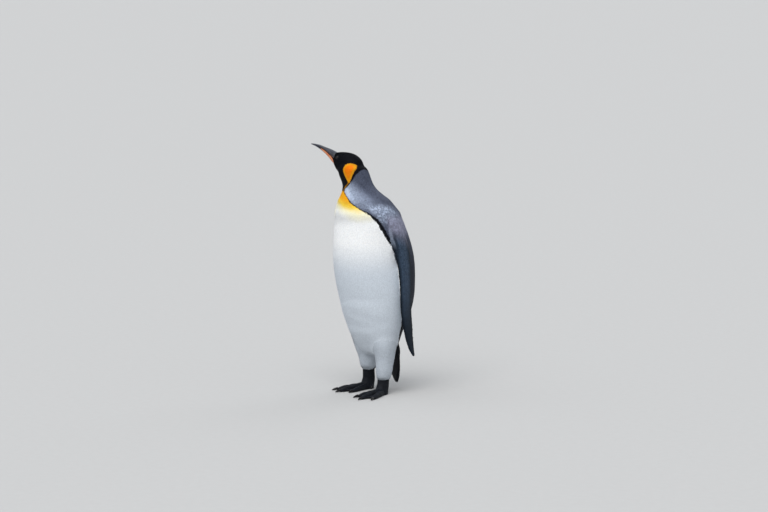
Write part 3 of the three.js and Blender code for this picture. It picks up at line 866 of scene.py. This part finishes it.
def cover(f):
    """Parts the feathers into named pieces under the triangle limit and makes them."""
    bird, own = to_bird(f.root), f.own
    angle, height = round_body(bird), bird[:, 2]
    forward, side, up = head_frame(bird)
    front = (own == TRUNK) & (np.abs(angle) < 75)
    right = own == LEG_R
    leg_angle = round_leg(bird, right, 15 + RIGHT_LEG_BACK * right) + np.where(right, 8, 0)
    regions = [
        ("front", "white", front, angle, height),
        ("back", "grey", ((own == TRUNK) & ~front) | (own == TAIL_PART), angle, height),
        ("neck", "grey", own == NECK, angle, height),
        ("head", "black", own == HEAD, np.degrees(np.arctan2(side, up - 10)), forward),
    ]
    for index, wing in WINGS.items():
        across, along = wing.place(bird)
        across = np.where(wing.outer(bird, f.normal) > 0.5, across, 2.2 - across)
        regions.append((list(FLESH)[index], "wing", own == index, across, along))
    regions.append(("legs", "white", np.isin(own, LEGS), leg_angle, height))
    made = []
    for name, slot, mask, u, v in regions:
        order = np.flatnonzero(mask)[np.argsort(v[mask])]
        for k, index in enumerate(np.array_split(order, math.ceil(len(order) / MAX_VANES))):
            some = SimpleNamespace(**{key: values[index] for key, values in vars(f).items()})
            piece = feather_piece(f"plumage_{name}_{k + 1}", some, fill_square(u[index], v[index]))
            made.append((piece, slot + "_plumage"))
    return made


# ---- tail feathers
TAIL_FEATHERS = 15
TAIL_ROWS = 16
TAIL_ROOT_Z, TAIL_TIP_Z = 150.0, 17.5
TAIL_LAYERS = (1.0, 0.6, 0.2, -0.2, -0.6, -1.0)  # from the upper side of the tail to its under side
# A tail feather's section: across, and up over its height.
TAIL_SECTION = ((-1, 0), (-0.12, 0.55), (0.12, 0.55), (1, 0), (0.12, -0.35), (-0.12, -0.35))


def tail_line(t):
    """The middle of the tail from root to tip, and its half width and half thickness."""
    z = TAIL_ROOT_Z + (TAIL_TIP_Z - TAIL_ROOT_Z) * t
    y = 101 + 19 * t**0.75 + 4.5 * t**4
    wide = np.interp(t, [0, 0.42, 0.66, 0.87, 1], [31, 27, 23, 17, 9])
    thick = np.interp(t, [0, 0.15, 0.3, 0.42, 0.66, 0.87, 1], [9, 10, 10.4, 9.8, 6.8, 4.4, 2.4])
    return np.stack([0 * z, y, z], -1), wide, thick


def tail_feather(place, layer, length):
    """A long stiff feather: place runs from -1 (right edge) to 1 (left edge) of the fan."""
    share = np.linspace(0, 1, TAIL_ROWS)
    middle, half, thick = tail_line(share * length)
    middle[:, 0] += place * (half - 4)
    middle[:, 1] += np.sqrt(1 - min(abs(place), 0.98) ** 2) * thick * layer
    wide = np.minimum(1, ((1 - share) / 0.2) ** 0.7) * (0.75 + 0.25 * np.minimum(1, share / 0.2))
    wide = 5.2 * wide + 0.2
    tall = 0.6 + 1.5 * (1 - share)
    points = np.repeat(middle[:, None], len(TAIL_SECTION), 1)
    for k, (across, up) in enumerate(TAIL_SECTION):
        points[:, k, 0] += across * wide
        points[:, k, 1] += up * tall - 0.12 * np.sign(layer) * tall * abs(across) * wide
    return to_row(points.reshape(-1, 3))


def tail_piece(rng):
    """The fan of quills in layers, each layer set half a feather from the next."""
    points, faces, count = [], [], 0
    one = flipped(tube_faces(TAIL_ROWS, len(TAIL_SECTION)))
    for layer in TAIL_LAYERS:
        shift = 0.5 * (layer in TAIL_LAYERS[1::2]) / TAIL_FEATHERS
        for place in np.clip(np.linspace(-0.98, 0.98, TAIL_FEATHERS) + shift, -1, 1):
            length = 1 - 0.32 * abs(place) ** 1.6 - 0.06 * rng.random() - 0.03 * (layer < 0)
            points.append(tail_feather(place, layer, length))
            faces += [tuple(i + count for i in face) for face in one]
            count += len(points[-1])
    tail = new_mesh("tail_feathers", np.concatenate(points), faces)
    tail.data.set_sharp_from_angle(angle=math.radians(50))
    return tail


# ---- bill
# Forward of the gape, culmen, mouth line, lower edge and half width.
BILL = np.array(
    [
        [-6, 19.5, -1.5, -12, 17], [14, 25.2, 4, -9.5, 15], [32, 24.6, 8.2, -5, 12.5],
        [52, 22, 10.6, -1, 10], [74, 18, 10.6, 2, 8], [96, 14.6, 8.8, 3, 6],
        [115, 9.2, 5.6, 2.2, 4], [128, 4.5, 2, 0.4, 2.2], [134, 1.6, 0.2, -0.8, 0.9],
    ]
).T
CULMEN, MOUTH, LOWER_EDGE, HALF_WIDTH = 1, 2, 3, 4
BILL_RINGS, BILL_SIDES = 90, 40
BILL_POWER = 2.2  # a touch boxier than an ellipse
# The coloured plate: forward of the gape, upper edge and lower edge.
PLATE = np.array(
    [
        [-3, -3.4, -9.8], [0, -2.0, -9.6], [12, 2.0, -7.6], [26, 5.9, -4.3],
        [50, 9.2, 0.8], [66, 9.9, 4.0], [78, 9.5, 6.8], [84, 8.6, 8.3],
    ]
).T
PLATE_ROWS, PLATE_COLUMNS = 12, 64


def bill_at(forward, column):
    """A smooth value of the bill's table (Catmull-Rom on uneven steps)."""
    x, y = BILL[0], BILL[column]
    slope = np.gradient(y, x)
    i = np.clip(np.searchsorted(x, forward) - 1, 0, len(x) - 2)
    span = x[i + 1] - x[i]
    t = np.clip((forward - x[i]) / span, 0, 1)
    rise = 3 * t**2 - 2 * t**3
    bend = (t**3 - 2 * t**2 + t) * slope[i] + (t**3 - t**2) * slope[i + 1]
    return (1 - rise) * y[i] + rise * y[i + 1] + span * bend


def superround(angle):
    c, s = np.cos(angle), np.sin(angle)
    return np.sign(c) * np.abs(c) ** (2 / BILL_POWER), np.sign(s) * np.abs(s) ** (2 / BILL_POWER)


def bill_loft(name, top, under, shape):
    """A closed horn body between two of the bill's edge lines. shape bends each ring."""
    reach = BILL[0, -1] - BILL[0, 0]
    forward = (BILL[0, 0] + reach * np.linspace(0, 1, BILL_RINGS) ** 0.92)[:, None]
    across, rise = superround(circle(BILL_SIDES))
    middle = (bill_at(forward, top) + bill_at(forward, under)) / 2
    high = (bill_at(forward, top) - bill_at(forward, under)) / 2
    side, up = shape(forward, across, rise, bill_at(forward, HALF_WIDTH))
    points = head_point(forward, side, middle + rise * high + up)
    return new_mesh(name, to_row(points.reshape(-1, 3)), tube_faces(BILL_RINGS, BILL_SIDES))


def upper_ring(f, across, rise, half):
    """Narrow culmen, a groove along the side from the nostril, and a sharp overhanging edge."""
    side = across * half * (1 - 0.34 * np.clip(rise, 0, 1) ** 1.4)
    groove = 0.9 * hump(f, 30, 34) * hump(rise, 0.32, 0.2)
    nostril = 1.1 * hump(f, 26, 7) * hump(rise, 0.3, 0.12)
    lip = 0.5 * hump(rise, -0.75, 0.22) * (1 - f / 150)
    return side + np.sign(across) * (lip - groove - nostril), -0.15 * np.clip(-rise, 0, 1)


def lower_ring(f, across, rise, half):
    """A keel-like mandible, a little narrower than the upper one at the mouth line."""
    return across * half * (0.95 - 0.18 * np.clip(-rise, 0, 1)), -0.15


def plate_patch(name, sign):
    """The coloured plate on the lower bill's side, slightly proud and rounded at its rim."""
    f = np.linspace(PLATE[0, 0], PLATE[0, -1], PLATE_COLUMNS)
    upper, lower = (np.interp(f, PLATE[0], edge) for edge in PLATE[1:])
    v = np.linspace(0, 1, PLATE_ROWS)[:, None]
    up = lower + (upper - lower) * v
    middle = (bill_at(f, MOUTH) + bill_at(f, LOWER_EDGE)) / 2
    rise = (up - middle) / ((bill_at(f, MOUTH) - bill_at(f, LOWER_EDGE)) / 2)
    across = (1 - np.clip(np.abs(rise), 0, 0.985) ** BILL_POWER) ** (1 / BILL_POWER)
    side, _ = lower_ring(f, across, rise, bill_at(f, HALF_WIDTH))
    rim = np.minimum(1, 4.5 * np.minimum(v, 1 - v)) ** 0.5 * np.clip((PLATE[0, -1] - f) / 8, 0, 1) ** 0.5
    outer = head_point(f, sign * (side - 0.4 + 1.35 * rim), up)
    inner = head_point(f, sign * (side - 1.6), up)
    points = np.concatenate([outer.reshape(-1, 3), inner.reshape(-1, 3)])
    count = PLATE_ROWS * PLATE_COLUMNS
    front = grid_faces(PLATE_ROWS, PLATE_COLUMNS)
    back = flipped([[i + count for i in face] for face in front])
    index = np.arange(count).reshape(PLATE_ROWS, PLATE_COLUMNS)
    loop = [*index[0], *index[1:, -1], *index[-1, -2::-1], *index[-2:0:-1, 0]]
    faces = front + back + [(j, i, i + count, j + count) for i, j in zip(loop, loop[1:] + loop[:1])]
    return new_mesh(name, to_row(points), faces if sign > 0 else flipped(faces))


# ---- eyes and lids
CORNEA, CORNEA_WIDE = 0.5, 34  # how far it stands out of the ball, and its spread in degrees
PUPIL_EDGE, IRIS_EDGE = (19, 21), (41, 45)  # degrees from the eye's axis
LID_EDGE = math.radians(82)  # where the lids end, as an angle from the eye's axis


def eye_ways(sign, polar, around):
    """Ways out of the eye's middle: by the angle from its axis, and round that axis."""
    out, ahead, up = eye_axes(sign)
    ring = np.cos(around)[:, None] * ahead + np.sin(around)[:, None] * up
    return np.cos(polar)[..., None] * out + np.sin(polar)[..., None] * ring


def eyeball(name, sign):
    """A ball with a domed cornea; its pole looks out of the head."""
    rows, columns = 38, 48
    centre, out = eye_centre(sign), eye_axes(sign)[0]
    polar = np.linspace(0, np.pi, rows + 2)[1:-1, None]
    radius = BALL_RADIUS + CORNEA * hump(np.degrees(polar), 0, CORNEA_WIDE)
    rings = centre + radius[..., None] * eye_ways(sign, polar, circle(columns))
    poles = [centre + (BALL_RADIUS + CORNEA) * out, centre - BALL_RADIUS * out]
    count = rows * columns
    faces = grid_faces(rows, columns, closed=True)
    faces += [(count, (k + 1) % columns, k) for k in range(columns)]
    last = count - columns
    faces += [(count + 1, last + k, last + (k + 1) % columns) for k in range(columns)]
    points = to_row(np.concatenate([rings.reshape(-1, 3), poles]))
    made = new_mesh(name, points, flipped(faces) if sign > 0 else faces)
    off_axis = np.arccos(np.clip(unit(to_bird(mesh_points(made)) - centre) @ out, -1, 1))
    mark(made.data, "iris", np.degrees(off_axis))
    return made


def lids(sign):
    """A thin dark rim that closes round the ball, with an almond opening and small folds."""
    rows, columns = 14, 72
    around = circle(columns)
    opening = np.radians(36 + 6.5 * np.abs(np.cos(around)) ** 3 - 3.0 * np.clip(np.sin(around), 0, 1))
    v = np.linspace(0, 1, rows)[:, None]
    way = eye_ways(sign, opening + (LID_EDGE - opening) * v, around)
    bulge = 0.37 + 0.6 * np.sin(np.pi * np.clip(v / 0.28, 0, 1)) ** 0.8 + 0.35 * ramp(v, 0.3, 1)
    fold = 0.12 * np.sin(v * 21 + 0.4 * np.sin(around * 5)) * (v > 0.15)
    rim, hem = (depth * row for depth, row in ((BALL_RADIUS - 0.6, way[:1]), (0.6 * BALL_RADIUS, way[-1:])))
    grid = eye_centre(sign) + np.concatenate([rim, (BALL_RADIUS + bulge + fold)[..., None] * way, hem])
    faces = grid_faces(rows + 2, columns, closed=True)
    last = (rows + 1) * columns
    faces += [(last + k, last + (k + 1) % columns, (k + 1) % columns, k) for k in range(columns)]
    made = new_mesh("lids", to_row(grid.reshape(-1, 3)), flipped(faces) if sign > 0 else faces)
    return made, np.zeros(len(made.data.vertices))


# ---- feet and claws
FOOT_REMESH, CLAW_REMESH = (0.95, 9), (0.55, 7)  # voxel size, and rounds of smoothing
FOOT_GROW, CLAW_GROW = 0.25, 0.15  # pushed out by so much, which the smoothing takes back
STUB_HEIGHT, STUB_BELOW = 22.0, 6.0  # the shank's hidden stub, and how far down it starts in the foot
SCALE_SIZE = 3.3


def worley(points, size, rng):
    """Distance to the nearest two of scattered seeds, as a share of size: outlines of scales."""
    low, high = points.min(0) - size, points.max(0) + size
    cells = np.ceil((high - low) / size).astype(int)
    grid = np.stack(np.meshgrid(*[np.arange(n) for n in cells], indexing="ij"), -1).reshape(-1, 3)
    tree = point_tree(low + (grid + rng.uniform(0.12, 0.88, grid.shape)) * size)
    return np.array([[d for _, _, d in tree.find_n(p, 2)] for p in points]).T / size


def add_stub(obj):
    """Carries the shank on up into the trousers, where it meets the skin of the leg."""
    points = mesh_points(obj)
    top = points[points[:, 2] > points[:, 2].max() - 0.5 * MM]
    middle = top[:, :2].mean(0)
    radius = 0.93 * np.linalg.norm(top[:, :2] - middle, axis=1).max()
    place = (*middle, top[:, 2].max() + (STUB_HEIGHT / 2 - STUB_BELOW) * MM)
    sizes = {"radius1": radius, "radius2": 0.8 * radius, "depth": STUB_HEIGHT * MM}
    add_shape(obj, bmesh.ops.create_cone, place, cap_ends=True, segments=32, **sizes)


def bare_foot(side, rng):
    """The foot's skin: a net of grooved scales, deepest on the shank, less deep on top of the toes and
    shallowest on faces that look down.
    """
    obj = joined_copy("bare_foot_" + side, ["foot_" + side], FOOT_GROW)
    add_stub(obj)
    remeshed(obj, *FOOT_REMESH)
    points, normals = mesh_points(obj), mesh_normals(obj)
    bird = to_bird(points)
    first, second = worley(bird, SCALE_SIZE, rng)
    groove = 1 - np.clip((second - first) / 0.28, 0, 1) ** 0.6
    top = ramp(normals[:, 2], -0.1, 0.45)
    shank = ramp(bird[:, 2], 16, 30)
    deep = groove * (0.6 * shank + 0.5 * top * (1 - shank) + 0.3 * (1 - top)) * ramp(bird[:, 2], 1.2, 3.0)
    points -= normals * ((deep + 0.2) * MM)[:, None]
    points[:, 2] = np.maximum(points[:, 2], 0.0)
    set_points(obj, points)
    return obj, groove


def join_bare(skin, colour, pieces):
    """Merges bare skin into the skin and marks each vertex: plumage colour, bareness and grooves."""
    points = [mesh_points(skin)] + [mesh_points(piece) for piece, _ in pieces]
    count = [len(p) for p in points]
    tree = point_tree(np.concatenate(points))
    bare = np.repeat([0.0] + [1.0] * len(pieces), count)
    groove = np.concatenate([np.zeros(count[0])] + [grooves for _, grooves in pieces])
    coat = np.concatenate([colour, np.zeros((sum(count[1:]), 3))])
    for piece, _ in pieces:
        applied(skin, "BOOLEAN", operation="UNION", solver="MANIFOLD", object=piece)
        bpy.data.objects.remove(piece)
    near = [tree.find(place)[1] for place in mesh_points(skin)]
    for name, values in (("bare", bare), ("groove", groove), ("coat", coat)):
        mark(skin.data, name, values[near])
    skin.data.shade_smooth()


def claw_horn(node):
    obj = joined_copy(node + "_horn", [node], CLAW_GROW)
    remeshed(obj, *CLAW_REMESH)
    set_points(obj, np.maximum(mesh_points(obj), (-np.inf, -np.inf, 0.0)))
    obj.data.shade_smooth()
    return obj


# ---- materials
class Look:
    """A material with a Principled shader and short calls to add nodes."""

    def __init__(self, name, roughness, specular):
        self.material = bpy.data.materials.new(name)
        self.material.use_nodes = True
        self.tree = self.material.node_tree
        self.shader = self.tree.nodes["Principled BSDF"]
        self.shader.inputs["Roughness"].default_value = roughness
        self.shader.inputs["Specular IOR Level"].default_value = specular

    def put(self, socket, value):
        """Links another node's output to a socket, or gives the socket a value."""
        if isinstance(value, bpy.types.NodeSocket):
            self.tree.links.new(value, socket)
        else:
            socket.default_value = value

    def node(self, kind, output, inputs, **settings):
        """Adds a node and returns one of its outputs."""
        made = self.tree.nodes.new("ShaderNode" + kind)
        for key, value in settings.items():
            setattr(made, key, value)
        for key, value in inputs.items():
            self.put(made.inputs[key], value)
        return made.outputs[output]

    def link(self, name, value):
        self.put(self.shader.inputs[name], value)

    def mark(self, name, output="Fac"):
        return self.node("Attribute", output, {}, attribute_name=name)

    def maths(self, operation, *values):
        return self.node("Math", 0, dict(enumerate(values)), operation=operation)

    def scaled(self, colour, factor):
        return self.node("VectorMath", 0, {0: colour, "Scale": factor}, operation="SCALE")

    def noise(self, scale, detail, stretch=None):
        place = self.node("TexCoord", "Object", {})
        if stretch:
            place = self.node("Mapping", 0, {"Vector": place, "Scale": stretch})
        inputs = {"Vector": place, "Scale": scale, "Detail": detail, "Roughness": 0.55}
        return self.node("TexNoise", "Fac", inputs)

    def between(self, value, low, high, to_low=0.0, to_high=1.0):
        inputs = {"Value": value, "From Min": low, "From Max": high, "To Min": to_low, "To Max": to_high}
        return self.node("MapRange", "Result", inputs)

    def uneven(self, scale, detail, low, high):
        """Noise between two values."""
        return self.between(self.noise(scale, detail), 0.3, 0.7, low, high)

    def mix(self, fac, *colours):
        inputs = {0: fac}
        for socket, colour in zip((6, 7), colours):
            inputs[socket] = (*colour, 1) if isinstance(colour, tuple) else colour
        return self.node("Mix", 2, inputs, data_type="RGBA", blend_type="MIX")

    def bump(self, height, strength, distance):
        inputs = {"Height": height, "Strength": strength, "Distance": distance}
        self.link("Normal", self.node("Bump", "Normal", inputs))


def plumage_look(name, roughness, specular):
    """Feathers coloured by their own markings, with fine barbs and uneven brightness."""
    look = Look(name, roughness, specular)
    look.link("Base Color", look.scaled(look.mark("coat", "Color"), look.uneven(260, 2, 0.93, 1.07)))
    uv = look.node("UVMap", "UV", {}, uv_map="vane")
    across, along = (look.node("SeparateXYZ", axis, {0: uv}) for axis in "XY")
    off_shaft = look.maths("ABSOLUTE", look.maths("SUBTRACT", across, 0.5))
    barb = look.maths("MULTIPLY_ADD", off_shaft, -0.9, along)
    look.bump(look.maths("SINE", look.maths("MULTIPLY", barb, 150.0)), 0.25, 0.0001)
    return look


def skin_look():
    """Matt skin in the plumage's markings; near-black scales with darker grooves where it is bare."""
    look = Look("skin_under_plumage", 0.7, 0.14)
    covered = look.scaled(look.mark("coat", "Color"), look.uneven(700, 2, 0.8, 0.95))
    patchy = look.between(look.noise(60, 4), 0.35, 0.7)
    scale = look.mix(patchy, (0.005, 0.0065, 0.0105), (0.011, 0.014, 0.021))
    dust = look.between(look.noise(150, 3), 0.5, 0.8, 0, 0.25)
    scale = look.mix(dust, scale, (0.022, 0.023, 0.026))
    scale = look.mix(look.mark("groove"), scale, (0.0015, 0.0015, 0.002))
    look.link("Base Color", look.mix(look.mark("bare"), covered, scale))
    look.link("Roughness", look.uneven(240, 3, 0.5, 0.75))
    look.bump(look.noise(1900, 3), 0.35, 0.0003)
    return look


def eye_look():
    """Dark brown iris round a black pupil, by the angle from the eye's axis; wet gloss."""
    look = Look("eye_wet", 0.07, 0.2)
    angle = look.mark("iris")
    grain = look.between(look.noise(1500, 3), 0.35, 0.7)
    iris = look.mix(grain, (0.009, 0.004, 0.002), (0.022, 0.009, 0.004))
    colour = look.mix(look.between(angle, *PUPIL_EDGE), (0.002, 0.002, 0.002), iris)
    look.link("Base Color", look.mix(look.between(angle, *IRIS_EDGE), colour, (0.006, 0.005, 0.005)))
    return look


def horn_look(name, roughness, specular, streaks, span, colours, grain, strength):
    """Horn or quills with streaks between two colours and a grain, both stretched along the piece."""
    look = Look(name, roughness, specular)
    colour = look.mix(look.between(look.noise(*streaks), *span), *colours[:2])
    for fleck in colours[2:]:
        colour = look.mix(look.between(look.noise(900, 2), 0.62, 0.78, 0, 0.35), colour, fleck)
    look.link("Base Color", colour)
    look.bump(look.noise(*grain), strength, 0.0002)
    return look


def bill_look(name, *colours):
    streaks, grain = (90, 4, (0.12, 1.6, 1.0)), (420, 3, (0.25, 1.4, 1.0))
    look = horn_look(name, 0.36, 0.5, streaks, (0.42, 0.72), colours, grain, 0.25)
    look.link("Roughness", look.uneven(320, 3, 0.28, 0.46))
    return look


def claw_look():
    streaks, grain = (300, 3, (1.6, 0.2, 1.0)), (700, 2, (1.6, 0.3, 1.0))
    colours = (0.005, 0.005, 0.006), (0.015, 0.014, 0.015)
    look = horn_look("claw_keratin", 0.42, 0.2, streaks, (0.35, 0.7), colours, grain, 0.3)
    look.link("Roughness", look.uneven(500, 2, 0.3, 0.5))
    return look


def tail_look():
    streaks, grain = (500, 3, (1.8, 0.6, 0.12)), (1500, 2, (2.0, 1.0, 0.25))
    colours = (0.008, 0.0088, 0.0120), (0.022, 0.022, 0.027)
    return horn_look("tail_vanes", 0.55, 0.25, streaks, (0.35, 0.7), colours, grain, 0.35)


# ---- studio
CAMERA_TURN, CAMERA_RISE = 47.0, 7.0  # degrees from straight in front, towards the bird's left, and up
CAMERA_AWAY = 8.8  # metres
SENSOR, LENS = 36.0, 121.875  # millimetres
AIM_RIGHT, AIM_UP = 0.00538462, -0.05230769  # tangents of the way to the camera's target, seen from its axis
FLOOR_REACH = 400.0  # metres
# Soft lamps: name, turn and rise as for the camera, strength, softness in degrees, colour.
LAMPS = (
    ("key", 30, 54, 2.1, 45, (1.0, 0.985, 0.965)),
    ("top", -60, 72, 0.5, 60, (0.95, 0.975, 1.0)),
    ("rim", 190, 38, 0.4, 40, (0.95, 0.97, 1.0)),
)


def way_to(turn, rise):
    """The way to something that stands so many degrees round from straight in front, and up."""
    turn, rise = math.radians(turn), math.radians(rise)
    return np.array([math.sin(turn) * math.cos(rise), -math.cos(turn) * math.cos(rise), math.sin(rise)])


def add_camera():
    back, right = way_to(CAMERA_TURN, CAMERA_RISE), way_to(CAMERA_TURN + 90, 0)
    up = np.cross(back, right)
    camera = add_object("camera", bpy.data.cameras.new("camera"))
    camera.data.sensor_width = SENSOR
    camera.data.lens = LENS
    place = ORIGIN + CAMERA_AWAY * (back + AIM_RIGHT * right - AIM_UP * up)
    turned = Matrix([list(right), list(up), list(back)]).transposed().to_4x4()
    camera.matrix_world = Matrix.Translation(Vector(place)) @ turned
    bpy.context.scene.camera = camera


def add_floor():
    corners = [(x * FLOOR_REACH, y * FLOOR_REACH, 0) for x, y in ((-1, -1), (1, -1), (1, 1), (-1, 1))]
    floor = new_mesh("floor", corners, [(0, 1, 2, 3)])
    look = Look("floor_pale", 0.9, 0.1)
    tone = look.uneven(40, 2, 0.0, 1.0)
    look.link("Base Color", look.mix(tone, (0.465, 0.465, 0.465), (0.475, 0.475, 0.475)))
    floor.data.materials.append(look.material)


def add_light():
    world = bpy.data.worlds.new("studio")
    world.use_nodes = True
    sky = world.node_tree.nodes["Background"]
    sky.inputs["Color"].default_value = (0.93, 0.965, 1.0, 1)
    sky.inputs["Strength"].default_value = 0.63
    bpy.context.scene.world = world
    for name, turn, rise, strength, soft, colour in LAMPS:
        lamp = bpy.data.lights.new(name, "SUN")
        lamp.energy, lamp.angle, lamp.color = strength, math.radians(soft), colour
        light = add_object(name, lamp)
        light.rotation_euler = Vector(way_to(turn, rise)).to_track_quat("Z", "Y").to_euler()
    bpy.context.scene.view_settings.view_transform = "Standard"


# ---- the bird
def dress(obj, look, slot, *nodes):
    """Gives a piece its look, hangs it under the root and hides the solids it stands for."""
    obj.data.materials.clear()
    obj.data.materials.append(look.material)
    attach(obj, "root")
    if nodes:
        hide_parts(*nodes)


skin, part, depth, relax = make_skin()
skin_colour = plumage_colour(to_bird(mesh_points(skin)), part, mesh_normals(skin))

plumage = {
    "white_plumage": plumage_look("white_feathers", 0.8, 0.12),
    "grey_plumage": plumage_look("grey_feathers", 0.62, 0.07),
    "black_plumage": plumage_look("hood_feathers", 0.62, 0.07),
    "wing_plumage": plumage_look("flipper_feathers", 0.58, 0.06),
}
for piece, slot in cover(grow_feathers(skin, part, depth, relax)):
    dress(piece, plumage[slot], slot)
dress(tail_piece(np.random.default_rng(SEED + 2)), tail_look(), "tail_plumage")

horn = bill_look("bill_black_horn", (0.015, 0.0165, 0.026), (0.043, 0.049, 0.079), (0.010, 0.010, 0.013))
plate = bill_look("bill_orange_plate", (0.43, 0.118, 0.040), (0.50, 0.205, 0.095), (0.33, 0.075, 0.030))
dress(bill_loft("bill_upper_horn", CULMEN, MOUTH, upper_ring), horn, "bill_horn", "bill_upper")
dress(bill_loft("bill_lower_horn", MOUTH, LOWER_EDGE, lower_ring), horn, "bill_horn", "bill_lower")
wet = eye_look()
for sign, side in ((1, "left"), (-1, "right")):
    dress(plate_patch(f"bill_plate_{side}_horn", sign), plate, "bill_plate", "bill_plate_" + side)
    dress(eyeball("eyeball_" + side, sign), wet, "eye", "eye_" + side)

rng = np.random.default_rng(SEED + 1)
bare_skin = [bare_foot(side, rng) for side in ("left", "right")] + [lids(sign) for sign in (1, -1)]
join_bare(skin, skin_colour, bare_skin)
dress(skin, skin_look(), "foot_skin", *FLESH, "foot_left", "foot_right")
keratin = claw_look()
for side, toe in itertools.product(("left", "right"), ("inner", "middle", "outer", "hind")):
    node = f"claw_{side}_{toe}"
    dress(claw_horn(node), keratin, "claw_horn", node)

add_camera()
add_floor()
add_light()
